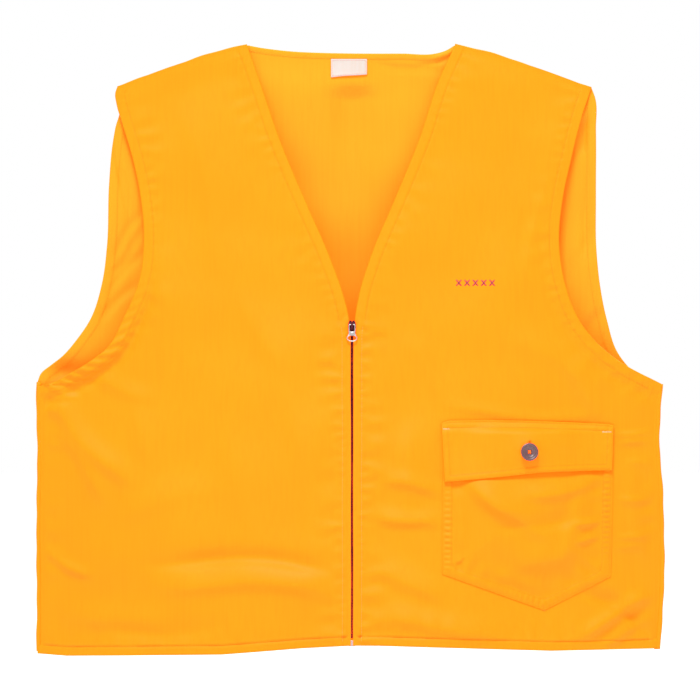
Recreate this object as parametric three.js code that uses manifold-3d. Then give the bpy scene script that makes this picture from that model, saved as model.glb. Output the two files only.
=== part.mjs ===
// A zip-front field vest in blaze orange cloth: V neck, bound armholes and one buttoned patch pocket.
// Millimetres, +Z up. The front faces -Y, so +X is the wearer's left. The origin is midway between the
// two high points of the shoulders, where a hanger or a wearer carries the vest.
//
// The back hangs flat. The front stands away from it like a wedge: closed along the shoulders and the
// side seams, and deepest at the middle of the hem. Cloth is drawn thicker than it is, so that it is solid.
import * as THREE from "three";
import { mergeVertices } from "three/addons/utils/BufferGeometryUtils.js";
import Module from "manifold-3d";

const wasm = await Module();
wasm.setup();

// ---- Driving dimensions of the garment ----
const bodyLength = 606; // shoulder high point to hem
const halfChest = 312.5; // centre line to side seam
const hemDepth = 80; // how far the front stands from the back at the middle of the hem
const sideFullness = 2.2; // how fast the front rounds back to the side seams
const neckHalfWidth = 104;
const neckDepth = 278; // high point to the bottom of the V
const backNeckDrop = 9;
const shoulderReach = 239; // centre line to shoulder tip
const shoulderFall = 46; // high point to shoulder tip
const armholeDepth = 340; // high point to underarm
const frontArmholeHollow = 31; // how far the front armhole cuts in from the shoulder tip
const backArmholeFlare = 4; // how far the back armhole stands out past the shoulder tip
const armholeWaist = 195; // height of the front armhole's narrowest point, below the high point

// ---- Cloth and seams ----
const cloth = 1;
const doubled = 1.6; // turned hems and bound edges
const seamGap = 1.5; // front to back where a seam closes them
const fit = 0.4; // clearance between sewn layers, and along a butted seam
const neckBand = 11;
const backNeckBand = 8;
const armBand = 11;
const hemBand = 10;
const sideSeam = 6.5;
const shoulderSeam = 5;

// ---- The front edge, which turns back along a fold when the zip is open ----
const foldFoot = 42; // the fold's distance from the centre line at the hem
const foldInset = 3; // from the neck band's outer edge to the fold, at the shoulder
const facingBand = 9;

// ---- Zip ----
const toothPitch = 3.2;
const toothHeight = 1.3;
const toothReach = 0.9; // how far a tooth passes the centre line into the other row
const toothRoot = 2.8; // centre line to the back of the row
const toothBody = 1.7; // centre line to where the teeth join up
const toothThickness = 2.6;
const tapeThickness = 0.6;
const tapeWidth = 12;
const sliderLength = 11.5;
const sliderHalfTop = 3.9;
const sliderHalfFoot = 3.4;
const sliderPlate = 1.2;
const runningGap = 0.3;
const zipOpeningHalf = sliderHalfTop + 0.5; // centre line to the folded cloth edge
const boxLength = 8;
const stopLength = 2.8;

// ---- Slider crown and pull ----
const crownWidth = 2.2;
const pullThickness = 1.2;
const pullHalfWidth = 3.7;
const pullArm = 1.6;
const windowLength = 6.2;
const crossbarLength = 4.6;
const ringHalfWidth = 5.3;
const ringHalfHeight = 3.7;
const ringWire = 1.1;

// ---- Pocket ----
const pocketInner = 90; // centre line to the pocket's inner edge
const pocketWidth = 171;
const pocketFoot = 76; // hem to the pocket's lower corners
const pocketPoint = 35; // how far the point hangs below the corners
const pointShift = 15; // the point's distance outward from the pocket's middle
const pocketDepth = 139; // mouth to lower corners
const pocketLoft = 12;
const mouthBand = 14;
const flapRise = 15; // from the mouth up to the flap's hinge
const flapInnerDrop = 61;
const flapOuterDrop = 46;
const flapLayer = 0.8;
const patchWidth = 24;
const patchHeight = 26;
const slitWidth = 3.2;
const slitLength = 14;

// ---- Button, label and chest motif ----
const buttonRadius = 9;
const buttonThickness = 3;
const buttonDrop = 31; // hinge to the button's middle
const threadRadius = 1;
const labelWidth = 36;
const labelHeight = 19;
const labelThickness = 0.5;
const motifWidth = 40;
const motifHeight = 8;
const motifFromCentre = 123;
const motifDrop = 238;

// ---- Colours ----
const material = (color, roughness, metalness) =>
  new THREE.MeshStandardMaterial({ color, roughness, metalness });
const orangeCloth = material("#ff9c0a", 0.85, 0);
const orangeBand = material("#ff960a", 0.85, 0);
const brownTape = material("#4a1a16", 0.9, 0);
const brownTeeth = material("#3a1512", 0.45, 0.3);
const brownEnamel = material("#35140f", 0.4, 0.5);
const silver = material("#c9c6c0", 0.35, 0.9);
const buttonHorn = material("#5b4248", 0.45, 0);
const whiteLabel = material("#f6f1ee", 0.8, 0);
const darkThread = material("#7a1f1f", 0.8, 0);
const orangeThread = material("#ffb347", 0.8, 0);

// ---- Shape of the garment ----
const shoulderSlope = shoulderFall / (shoulderReach - neckHalfWidth);
const shoulderDrop = (x) => Math.max(0, Math.abs(x) - neckHalfWidth) * shoulderSlope;

// Distance from the back's inner face forward to the front's inner face.
function frontDepth(x, z) {
  const below = Math.max(0, -z - shoulderDrop(x));
  const across = 1 - Math.min(1, Math.abs(x) / halfChest) ** sideFullness;
  return seamGap + hemDepth * (below / bodyLength) * across;
}

const point = (x, z) => new THREE.Vector2(x, z);
const hemLine = -bodyLength;
const hemTop = hemLine + hemBand;
const underarm = point(halfChest, -armholeDepth);
const vBottom = point(zipOpeningHalf, -neckDepth);

// Points along a cubic curve, both ends included.
function curve(from, pullFrom, pullTo, to, steps) {
  return new THREE.CubicBezierCurve(from, pullFrom, pullTo, to).getPoints(steps);
}

// Each point moved sideways: a positive distance moves it to the left of the way the line runs.
function offsetLine(points, distance) {
  return points.map((p, i) => {
    const before = points[Math.max(0, i - 1)];
    const after = points[Math.min(points.length - 1, i + 1)];
    const along = after.clone().sub(before).normalize();
    return point(p.x - along.y * distance, p.y + along.x * distance);
  });
}

// The V's edge, from the shoulder high point down to the zip.
const vEdge = curve(
  point(neckHalfWidth, 0),
  point(neckHalfWidth * 0.846, -neckDepth * 0.27),
  point(neckHalfWidth * 0.212, -neckDepth * 0.648),
  vBottom,
  14,
);
// An armhole edge, from the shoulder tip down to the underarm. hollow moves its waist towards the centre.
function armholeEdge(hollow) {
  const waistX = shoulderReach - hollow;
  const waist = point(waistX, -armholeWaist);
  const upper = curve(
    point(shoulderReach, -shoulderFall),
    point(shoulderReach - hollow * 0.26, -shoulderFall - (armholeWaist - shoulderFall) * 0.26),
    point(waistX, -shoulderFall - (armholeWaist - shoulderFall) * 0.63),
    waist,
    7,
  );
  const lower = curve(
    waist,
    point(waistX, -armholeWaist - (armholeDepth - armholeWaist) * 0.44),
    point(waistX + (halfChest - waistX) * 0.27, -armholeWaist - (armholeDepth - armholeWaist) * 0.78),
    underarm,
    8,
  );
  return [...upper, ...lower.slice(1)];
}
const frontArmEdge = armholeEdge(frontArmholeHollow);
const backArmEdge = armholeEdge(-backArmholeFlare);

// The fold that the front edge turns back on, as a function of height. It leaves the shoulder just
// outside the neck band.
const foldTop = neckHalfWidth + neckBand + foldInset;
const foldX = (z) => foldTop + (foldFoot - foldTop) * (-z / bodyLength);

const backNeckEdge = curve(
  point(-neckHalfWidth, 0),
  point(-neckHalfWidth * 0.45, -backNeckDrop * 1.3),
  point(neckHalfWidth * 0.45, -backNeckDrop * 1.3),
  point(neckHalfWidth, 0),
  12,
);

// ---- Solids ----
function solidFrom(geometry) {
  const bare = geometry.index ? geometry.toNonIndexed() : geometry.clone();
  for (const name of Object.keys(bare.attributes)) {
    if (name !== "position") bare.deleteAttribute(name);
  }
  const merged = mergeVertices(bare, 1e-4);
  return new wasm.Manifold(
    new wasm.Mesh({
      numProp: 3,
      vertProperties: merged.attributes.position.array,
      triVerts: new Uint32Array(merged.index.array),
    }),
  );
}

function geometryFrom(solid) {
  const made = solid.getMesh();
  const geometry = new THREE.BufferGeometry();
  geometry.setAttribute("position", new THREE.BufferAttribute(made.vertProperties, 3));
  geometry.setIndex(new THREE.BufferAttribute(made.triVerts, 1));
  return geometry;
}

// Extrudes an outline of (x, z) points along Y, from y = back towards the front by depth.
function prism(outline, back, depth, holes = []) {
  const shape = new THREE.Shape(outline);
  for (const hole of holes) shape.holes.push(new THREE.Path(hole));
  const geometry = new THREE.ExtrudeGeometry(shape, { depth, bevelEnabled: false });
  return geometry.rotateX(Math.PI / 2).translate(0, back, 0);
}

// A slab over a rectangle of the front, between two faces given as distances
// in front of the back's inner face.
function slab(low, high, cell, innerFace, outerFace) {
  const columns = Math.max(1, Math.round((high.x - low.x) / cell.x));
  const rows = Math.max(1, Math.round((high.y - low.y) / cell.y));
  const positions = [];
  for (const face of [innerFace, outerFace]) {
    for (let j = 0; j <= rows; j++) {
      for (let i = 0; i <= columns; i++) {
        const x = low.x + ((high.x - low.x) * i) / columns;
        const z = low.y + ((high.y - low.y) * j) / rows;
        positions.push(x, -face(x, z), z);
      }
    }
  }
  const layer = (columns + 1) * (rows + 1);
  const at = (i, j, outer) => j * (columns + 1) + i + (outer ? layer : 0);
  const triangles = [];
  const quad = (a, b, c, d) => triangles.push(a, b, c, a, c, d);
  for (let j = 0; j < rows; j++) {
    for (let i = 0; i < columns; i++) {
      quad(at(i, j, 1), at(i + 1, j, 1), at(i + 1, j + 1, 1), at(i, j + 1, 1));
      quad(at(i, j, 0), at(i, j + 1, 0), at(i + 1, j + 1, 0), at(i + 1, j, 0));
    }
  }
  for (let i = 0; i < columns; i++) {
    quad(at(i, 0, 0), at(i + 1, 0, 0), at(i + 1, 0, 1), at(i, 0, 1));
    quad(at(i + 1, rows, 0), at(i, rows, 0), at(i, rows, 1), at(i + 1, rows, 1));
  }
  for (let j = 0; j < rows; j++) {
    quad(at(0, j + 1, 0), at(0, j, 0), at(0, j, 1), at(0, j + 1, 1));
    quad(at(columns, j, 0), at(columns, j + 1, 0), at(columns, j + 1, 1), at(columns, j, 1));
  }
  const geometry = new THREE.BufferGeometry();
  geometry.setAttribute("position", new THREE.Float32BufferAttribute(positions, 3));
  geometry.setIndex(triangles);
  return geometry;
}

const wideCell = point(26, 95);
const fineCell = point(17, 18);

// The part of a slab that lies inside an outline.
function layer(outline, innerFace, outerFace, cell, holes = []) {
  const box = new THREE.Box2().setFromPoints(outline).expandByScalar(2);
  const sheet = solidFrom(slab(box.min, box.max, cell, innerFace, outerFace));
  const cutter = solidFrom(prism(outline, 20, hemDepth + 80, holes));
  return geometryFrom(sheet.intersect(cutter));
}

// Cloth on the front, its inner face a given offset in front of the front panels' inner face.
function frontCloth(outline, thickness, offset = () => 0, cell = wideCell, holes = []) {
  const inner = (x, z) => frontDepth(x, z) + offset(x, z);
  return layer(outline, inner, (x, z) => inner(x, z) + thickness, cell, holes);
}

// A closing seam, which reaches from the back's outer face to the front's.
function closingSeam(outline) {
  return layer(outline, () => -doubled, (x, z) => frontDepth(x, z) + doubled, wideCell);
}

// A layer of the flat back: inner face at y = 0.
function backCloth(outline, thickness) {
  return prism(outline, thickness, thickness);
}

const vest = new THREE.Group();

function add(name, geometry, finish, parent = vest) {
  const mesh = new THREE.Mesh(geometry, finish);
  mesh.name = name;
  parent.add(mesh);
  return mesh;
}

// Outlines are drawn for the wearer's left side (+X), and the right side is their mirror image.
const sides = { left: 1, right: -1 };
const mirrored = (outline, side) => outline.map((p) => point(p.x * side, p.y));

// ---- Outlines of the left front ----
const shoulderAt = (x) => point(x, -shoulderDrop(x) - shoulderSeam - fit);
const facingEdge = zipOpeningHalf + facingBand;
const sideEdge = halfChest - sideSeam - fit;

// The part of a line that lies on one side of a limit, with its cut end placed on the limit.
function cutBelow(points, limit) {
  const kept = points.filter((p) => p.y < limit);
  const last = points.findIndex((p) => p.y < limit);
  if (last <= 0) return kept;
  const [a, b] = [points[last - 1], points[last]];
  return [a.clone().lerp(b, (a.y - limit) / (a.y - b.y)), ...kept];
}

// The line a given distance outside the V, from the shoulder down to just above the zip.
const besideV = (distance) =>
  cutBelow(offsetLine(vEdge, distance).slice(0, -1), -shoulderDrop(neckHalfWidth + distance));

const neckBandOutline = [
  ...vEdge,
  point(vBottom.x + neckBand, -neckDepth),
  ...[...besideV(neckBand)].reverse(),
];

const lapelOutline = [
  ...besideV(neckBand + fit),
  point(vBottom.x + neckBand + fit, -neckDepth - fit),
  point(facingEdge + fit, -neckDepth - fit),
  point(facingEdge + fit, hemTop + fit),
  point(foldX(hemTop) - fit / 2, hemTop + fit),
  point(foldTop - fit / 2, -shoulderDrop(foldTop)),
];

const facingOutline = [
  point(zipOpeningHalf, -neckDepth - fit),
  point(zipOpeningHalf, hemLine),
  point(facingEdge, hemLine),
  point(facingEdge, -neckDepth - fit),
];

const lapelHemOutline = [
  point(facingEdge + fit, hemLine),
  point(foldX(hemLine) - fit / 2, hemLine),
  point(foldX(hemTop) - fit / 2, hemTop),
  point(facingEdge + fit, hemTop),
];

const shoulderFoot = (x) => -shoulderDrop(x) - shoulderSeam - fit;
const bandTop = shoulderFoot(shoulderReach);

// A band along an armhole edge, from under the shoulder seam to the side seam.
function armBandOutline(edge) {
  const outer = cutBelow(edge, bandTop).filter((p) => p.x <= halfChest - sideSeam);
  const inner = cutBelow(offsetLine(edge, -armBand), shoulderFoot(shoulderReach - armBand)).filter(
    (p) => p.x < sideEdge - 2,
  );
  return [
    ...outer,
    point(sideEdge, outer[outer.length - 1].y - 3),
    point(sideEdge, inner[inner.length - 1].y - 1),
    ...[...inner].reverse(),
  ];
}

// The cloth inside an armhole band: from the shoulder seam down beside the band to the side seam.
function besideArmBand(edge) {
  const line = cutBelow(offsetLine(edge, -armBand - fit), shoulderFoot(shoulderReach - armBand));
  const kept = line.filter((p) => p.x < sideEdge - 3);
  return [...kept, point(sideEdge, kept[kept.length - 1].y - 2)];
}

const frontPanelOutline = [
  shoulderAt(foldTop + fit / 2),
  ...besideArmBand(frontArmEdge),
  point(sideEdge, hemTop + fit),
  point(foldX(hemTop) + fit / 2, hemTop + fit),
];

const frontHemOutline = [
  point(foldX(hemTop) + fit / 2, hemTop),
  point(foldX(hemLine) + fit / 2, hemLine),
  point(sideEdge, hemLine),
  point(sideEdge, hemTop),
];

const shoulderSeamOutline = [
  point(foldTop + fit, -shoulderDrop(foldTop + fit)),
  point(shoulderReach, -shoulderFall),
  point(shoulderReach, -shoulderFall - shoulderSeam),
  point(foldTop + fit, -shoulderDrop(foldTop + fit) - shoulderSeam),
];

const sideSeamOutline = [
  point(halfChest - sideSeam, -armholeDepth),
  point(halfChest - sideSeam, hemLine),
  point(halfChest, hemLine),
  point(halfChest, -armholeDepth),
];

// ---- Fronts, seams and armholes ----
for (const [side, sign] of Object.entries(sides)) {
  const on = (outline) => mirrored(outline, sign);
  add(`${side}_front_panel`, frontCloth(on(frontPanelOutline), cloth), orangeCloth);
  add(`${side}_front_hem`, frontCloth(on(frontHemOutline), doubled), orangeBand);
  add(`${side}_front_armhole_band`, frontCloth(on(armBandOutline(frontArmEdge)), doubled), orangeBand);
  add(`${side}_back_armhole_band`, backCloth(on(armBandOutline(backArmEdge)), doubled), orangeBand);
  add(`${side}_shoulder_seam`, closingSeam(on(shoulderSeamOutline)), orangeBand);
  add(`${side}_side_seam`, closingSeam(on(sideSeamOutline)), orangeBand);
  add(`${side}_lapel`, frontCloth(on(lapelOutline), cloth), orangeCloth);
  add(`${side}_lapel_hem`, frontCloth(on(lapelHemOutline), doubled), orangeBand);
  add(`${side}_neck_band`, frontCloth(on(neckBandOutline), doubled), orangeBand);
  add(`${side}_zip_facing`, frontCloth(on(facingOutline), doubled), orangeBand);
}

// ---- Back ----
const backSide = [
  shoulderAt(neckHalfWidth + 3),
  ...besideArmBand(backArmEdge),
  point(sideEdge, hemTop + fit),
];
const backNeckFoot = offsetLine(backNeckEdge, -backNeckBand - fit);
const backPanelOutline = [
  ...backNeckFoot,
  ...backSide,
  ...[...mirrored(backSide, -1)].reverse(),
];
add("back_panel", backCloth(backPanelOutline, cloth), orangeCloth);
const backNeckOutline = [...backNeckEdge, ...offsetLine(backNeckEdge, -backNeckBand).reverse()];
add("back_neck_band", backCloth(backNeckOutline, doubled), orangeBand);
const backHemOutline = [
  point(-sideEdge, hemTop),
  point(sideEdge, hemTop),
  point(sideEdge, hemLine),
  point(-sideEdge, hemLine),
];
add("back_hem", backCloth(backHemOutline, doubled), orangeBand);

// ---- Zip ----
// The zip lies on the straight line where the two fronts meet. Its own frame has its origin on that
// line at the high point's height, y = 0 on the cloth's inner face and -Z running down the teeth.
const zipLean = Math.atan(hemDepth / bodyLength);
const zip = new THREE.Group();
zip.position.set(0, -seamGap, 0);
zip.rotation.x = -zipLean;
vest.add(zip);

const alongZip = (z) => z / Math.cos(zipLean);
const tapeBack = fit + tapeThickness;
const tapeMiddle = fit + tapeThickness / 2;
const teethFront = tapeMiddle - toothThickness / 2;
const teethBack = tapeMiddle + toothThickness / 2;
const sliderTop = alongZip(-neckDepth) + 1.5;
const sliderFoot = sliderTop - sliderLength;
const bridgeLength = 3.4;
const teethTop = sliderTop - bridgeLength - runningGap;
const boxFoot = alongZip(hemLine) + 2;
const boxTop = boxFoot + boxLength;
const teethFoot = boxTop + runningGap;

// The comb of one row: a spine along the tape with a tooth every pitch.
// The right row sits half a pitch lower.
function toothRow(sign) {
  const start = sign > 0 ? teethTop : teethTop - toothPitch / 2;
  const count = Math.floor((start - teethFoot) / toothPitch);
  const outline = [point(toothRoot, teethTop), point(toothBody, teethTop)];
  for (let i = 0; i < count; i++) {
    const top = start - i * toothPitch - 0.1;
    outline.push(point(toothBody, top));
    outline.push(point(-toothReach, top - 0.15));
    outline.push(point(-toothReach, top - toothHeight + 0.15));
    outline.push(point(toothBody, top - toothHeight));
  }
  outline.push(point(toothBody, teethFoot), point(toothRoot, teethFoot));
  return prism(mirrored(outline, sign), teethBack, toothThickness);
}

const rectangle = (x0, x1, z0, z1) => [point(x0, z0), point(x1, z0), point(x1, z1), point(x0, z1)];

for (const [side, sign] of Object.entries(sides)) {
  const tapeStart = toothRoot + runningGap;
  const tape = rectangle(tapeStart, tapeStart + tapeWidth, boxTop + runningGap, sliderTop + stopLength + 1);
  add(`${side}_zip_tape`, prism(mirrored(tape, sign), tapeBack, tapeThickness), brownTape, zip);
  add(`${side}_zip_teeth`, toothRow(sign), brownTeeth, zip);
  const stop = rectangle(0.6, toothRoot, sliderTop + runningGap, sliderTop + runningGap + stopLength);
  add(`${side}_top_stop`, prism(mirrored(stop, sign), teethBack, toothThickness), brownEnamel, zip);
}

// The retainer box is fixed to the left row. The right row's pin lies behind its front wall.
const pinHalf = 0.7;
const pinCentre = -1.5;
const boxWall = 0.8;
const pinBack = teethBack - 0.2;
const pinThickness = pinBack - (teethFront + boxWall + runningGap);
const channelEdge = pinCentre + pinHalf + runningGap;
const boxShell = rectangle(pinCentre - pinHalf - 0.9, sliderHalfFoot, boxFoot, boxTop);
const boxChannel = rectangle(pinCentre - pinHalf - 2, channelEdge, boxFoot - 1, boxTop + 1);
const boxSolid = solidFrom(prism(boxShell, teethBack, toothThickness)).subtract(
  solidFrom(prism(boxChannel, teethBack + 1, toothThickness + 1 - boxWall)),
);
add("retainer_box", geometryFrom(boxSolid), silver, zip);
const pin = rectangle(pinCentre - pinHalf, pinCentre + pinHalf, boxFoot + 0.5, teethFoot - runningGap);
add("insertion_pin", prism(pin, pinBack, pinThickness), silver, zip);

// The slider: two plates with rails on their sides, held apart by the bridge between the two rows.
const sliderPlan = [
  point(-sliderHalfFoot, sliderFoot),
  point(sliderHalfFoot, sliderFoot),
  point(sliderHalfTop, sliderTop - 3),
  point(sliderHalfTop - 0.7, sliderTop),
  point(-sliderHalfTop + 0.7, sliderTop),
  point(-sliderHalfTop, sliderTop - 3),
];
const frontPlateBack = teethFront - runningGap;
const frontPlateFront = frontPlateBack - sliderPlate;
const backPlateFront = teethBack + runningGap;
const railInner = toothRoot + runningGap;
const railHalf = sliderHalfFoot;
const plates = [
  prism(sliderPlan, frontPlateBack, sliderPlate),
  prism(sliderPlan, backPlateFront + sliderPlate, sliderPlate),
];
const slotHalf = tapeThickness / 2 + 2 * runningGap;
const bridge = rectangle(-0.8, 0.8, sliderTop - bridgeLength, sliderTop - 0.5);
const sliderPieces = [prism(bridge, backPlateFront + 0.2, toothThickness + 2 * runningGap + 0.4)];
for (const sign of [1, -1]) {
  const rail = mirrored(rectangle(railInner, railHalf, sliderFoot, sliderTop - 3), sign);
  const frontRail = tapeMiddle - slotHalf - frontPlateBack + 0.2;
  const backRail = backPlateFront + 0.2 - tapeMiddle - slotHalf;
  sliderPieces.push(prism(rail, tapeMiddle - slotHalf, frontRail));
  sliderPieces.push(prism(rail, backPlateFront + 0.2, backRail));
}
const sliderSolid = [...plates, ...sliderPieces].map(solidFrom).reduce((a, b) => a.add(b));
add("zip_slider", geometryFrom(sliderSolid), brownEnamel, zip);

// The crown arches over the pull's bar. It is drawn side on and extruded across the slider.
const pivotZ = sliderTop - 3.6;
const pivotY = frontPlateFront - runningGap - 0.3 - pullThickness / 2;
const crownBack = frontPlateFront - runningGap;
const archInner = pivotY - pullThickness / 2 - 0.5;
const crownFront = archInner - 0.9;
const crownTop = pivotZ + 2.1;
const crownFoot = pivotZ - 5.2;
const crownOutline = [
  point(-crownBack, crownTop),
  point(-crownFront - 0.6, crownTop),
  point(-crownFront, crownTop - 0.7),
  point(-crownFront, crownFoot + 1.4),
  point(-crownFront - 0.8, crownFoot),
  point(-crownBack, crownFoot),
  point(-crownBack, crownFoot + 1),
  point(-archInner, crownFoot + 1.6),
  point(-archInner, crownTop - 1),
  point(-crownBack, crownTop - 1),
];
const crownShape = new THREE.ExtrudeGeometry(new THREE.Shape(crownOutline), {
  depth: crownWidth,
  bevelEnabled: false,
});
// The drawing's x becomes -Y, its y becomes Z and its depth -X.
const crownTurn = new THREE.Matrix4().makeBasis(
  new THREE.Vector3(0, -1, 0),
  new THREE.Vector3(0, 0, 1),
  new THREE.Vector3(-1, 0, 0),
);
crownTurn.setPosition(crownWidth / 2, 0, 0);
crownShape.applyMatrix4(crownTurn);
add("slider_crown", crownShape, brownEnamel, zip);

// The pull: a flat frame that hangs from its top bar, a crossbar and an oval ring.
const windowTop = -pullThickness / 2;
const windowFoot = windowTop - windowLength;
const crossbarFoot = windowFoot - crossbarLength;
const ringMiddle = crossbarFoot - ringHalfHeight + ringWire + 0.6;
const frame = new THREE.Shape([
  point(-pullHalfWidth, -windowTop),
  point(pullHalfWidth, -windowTop),
  point(pullHalfWidth, windowFoot - 0.6),
  point(pullHalfWidth - 0.9, crossbarFoot),
  point(-pullHalfWidth + 0.9, crossbarFoot),
  point(-pullHalfWidth, windowFoot - 0.6),
]);
frame.holes.push(
  new THREE.Path(rectangle(-pullHalfWidth + pullArm, pullHalfWidth - pullArm, windowFoot, windowTop)),
);
const ringShape = new THREE.Shape();
ringShape.absellipse(0, ringMiddle, ringHalfWidth, ringHalfHeight, 0, 2 * Math.PI);
ringShape.holes.push(
  new THREE.Path().absellipse(
    0,
    ringMiddle,
    ringHalfWidth - ringWire,
    ringHalfHeight - ringWire,
    0,
    2 * Math.PI,
  ),
);
const flatPlate = (shape) =>
  new THREE.ExtrudeGeometry(shape, { depth: pullThickness, bevelEnabled: false, curveSegments: 14 })
    .rotateX(Math.PI / 2)
    .translate(0, pivotY + pullThickness / 2, pivotZ);
const pullSolid = solidFrom(flatPlate(frame)).add(solidFrom(flatPlate(ringShape)));
add("zip_pull", geometryFrom(pullSolid), silver, zip);

// ---- Pocket ----
const pocketOuter = pocketInner + pocketWidth;
const pocketMiddle = pocketInner + pocketWidth / 2;
const cornerZ = hemLine + pocketFoot;
const mouthZ = cornerZ + pocketDepth;
const tipZ = cornerZ - pocketPoint;

// How far the pocket's inner face stands in front of the front panel's inner face.
function pocketOffset(x, z) {
  const across = Math.max(0, 1 - ((x - pocketMiddle) / (pocketWidth / 2)) ** 2);
  const up = Math.min(1, Math.max(0, (z - cornerZ) / (pocketDepth * 0.6)));
  return cloth + fit + pocketLoft * across * up;
}

const pocketOutline = [
  point(pocketInner, mouthZ - mouthBand - fit),
  point(pocketOuter, mouthZ - mouthBand - fit),
  point(pocketOuter, cornerZ),
  point(pocketMiddle + pointShift, tipZ),
  point(pocketInner, cornerZ),
];
add("pocket_panel", frontCloth(pocketOutline, cloth, pocketOffset, fineCell), orangeCloth);
const mouthOutline = rectangle(pocketInner, pocketOuter, mouthZ - mouthBand, mouthZ);
add("pocket_mouth_hem", frontCloth(mouthOutline, doubled, pocketOffset, fineCell), orangeBand);

// ---- Pocket flap: lining, outer layer and the cloth round the buttonhole ----
// The cloth round the buttonhole gives as the button passes.
const hingeZ = mouthZ + flapRise;
const buttonZ = hingeZ - buttonDrop;

const flapCell = point(14, 7);

// The flap leaves the front panel at its hinge and lies on the pocket from the mouth down.
function flapOffset(x, z) {
  const overMouth = Math.min(1, Math.max(0, (hingeZ - z) / (flapRise - flapCell.y - 1)));
  const start = cloth + fit;
  const onPocket = pocketOffset(x, Math.min(z, mouthZ)) + doubled + fit;
  return start + (onPocket - start) * overMouth;
}
const flapFrontOffset = (x, z) => flapOffset(x, z) + flapLayer + fit;

const flapOutline = [
  point(pocketInner, hingeZ),
  point(pocketOuter, hingeZ),
  point(pocketOuter, hingeZ - flapOuterDrop),
  point(pocketMiddle + pointShift, hingeZ - flapOuterDrop - 3),
  point(pocketInner, hingeZ - flapInnerDrop),
];
const patchRect = (grow) =>
  rectangle(
    pocketMiddle - patchWidth / 2 - grow,
    pocketMiddle + patchWidth / 2 + grow,
    buttonZ - patchHeight / 2 + 2 - grow,
    buttonZ + patchHeight / 2 + 2 + grow,
  );
const flapWindow = [patchRect(fit)];
add("flap_lining", frontCloth(flapOutline, flapLayer, flapOffset, flapCell, flapWindow), orangeCloth);
add("pocket_flap", frontCloth(flapOutline, flapLayer, flapFrontOffset, flapCell, flapWindow), orangeCloth);
const slit = rectangle(
  pocketMiddle - slitWidth / 2,
  pocketMiddle + slitWidth / 2,
  buttonZ - threadRadius - 1.6,
  buttonZ - threadRadius - 1.6 + slitLength,
);
const patchThickness = 2 * flapLayer + fit;
const patch = frontCloth(patchRect(0), patchThickness, flapOffset, flapCell, [slit]);
add("buttonhole_patch", patch, orangeCloth);

// ---- Button and its thread, square to the cloth under them ----
const pocketFront = (x, z) => frontDepth(x, z) + pocketOffset(x, z) + cloth;
const step = 4;
const riseX = pocketFront(pocketMiddle + step, buttonZ) - pocketFront(pocketMiddle - step, buttonZ);
const riseZ = pocketFront(pocketMiddle, buttonZ + step) - pocketFront(pocketMiddle, buttonZ - step);
const slopeX = riseX / (2 * step);
const slopeZ = riseZ / (2 * step);
const facing = new THREE.Vector3(-slopeX, -1, -slopeZ).normalize();
const buttonFrame = new THREE.Group();
buttonFrame.position.set(pocketMiddle, -pocketFront(pocketMiddle, buttonZ), buttonZ);
buttonFrame.quaternion.setFromUnitVectors(new THREE.Vector3(0, -1, 0), facing);
vest.add(buttonFrame);

const threadFoot = fit;
const flapTop = doubled - cloth + fit + patchThickness;
const buttonBack = flapTop + 1.2;
const threadLength = buttonBack - threadFoot - runningGap;
const thread = new THREE.CylinderGeometry(threadRadius, threadRadius, threadLength, 10);
add("button_thread", thread.translate(0, -threadFoot - threadLength / 2, 0), orangeThread, buttonFrame);

// A turned button: raised rim, dished middle and four sewing holes.
const buttonProfile = [
  new THREE.Vector2(0, 0),
  new THREE.Vector2(buttonRadius - 1.4, 0),
  new THREE.Vector2(buttonRadius, 1),
  new THREE.Vector2(buttonRadius, buttonThickness - 0.7),
  new THREE.Vector2(buttonRadius - 0.7, buttonThickness),
  new THREE.Vector2(buttonRadius - 2, buttonThickness),
  new THREE.Vector2(buttonRadius - 3.2, buttonThickness - 0.8),
  new THREE.Vector2(0, buttonThickness - 0.9),
];
let buttonSolid = solidFrom(new THREE.LatheGeometry(buttonProfile, 32));
for (let i = 0; i < 4; i++) {
  const angle = Math.PI / 4 + (i * Math.PI) / 2;
  const hole = new THREE.CylinderGeometry(0.75, 0.75, 3 * buttonThickness, 8);
  hole.translate(1.7 * Math.cos(angle), 0, 1.7 * Math.sin(angle));
  buttonSolid = buttonSolid.subtract(solidFrom(hole));
}
const button = geometryFrom(buttonSolid).rotateX(Math.PI).translate(0, -buttonBack, 0);
add("pocket_button", button, buttonHorn, buttonFrame);

// ---- Chest motif and neck label ----
const motifOutline = rectangle(
  motifFromCentre - motifWidth / 2,
  motifFromCentre + motifWidth / 2,
  -motifDrop - motifHeight / 2,
  -motifDrop + motifHeight / 2,
);
add("chest_motif", frontCloth(motifOutline, 0.5, () => cloth + fit, fineCell), darkThread);

const labelTop = -backNeckDrop - 5;
const labelOutline = rectangle(-labelWidth / 2 - 3, labelWidth / 2 - 3, labelTop - labelHeight, labelTop);
add("neck_label", prism(labelOutline, -fit, labelThickness), whiteLabel);

export default vest;
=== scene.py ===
"""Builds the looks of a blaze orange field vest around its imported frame.

Sizes in the code are millimetres until a mesh is made. Z is up, and the vest's front faces -Y."""

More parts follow.
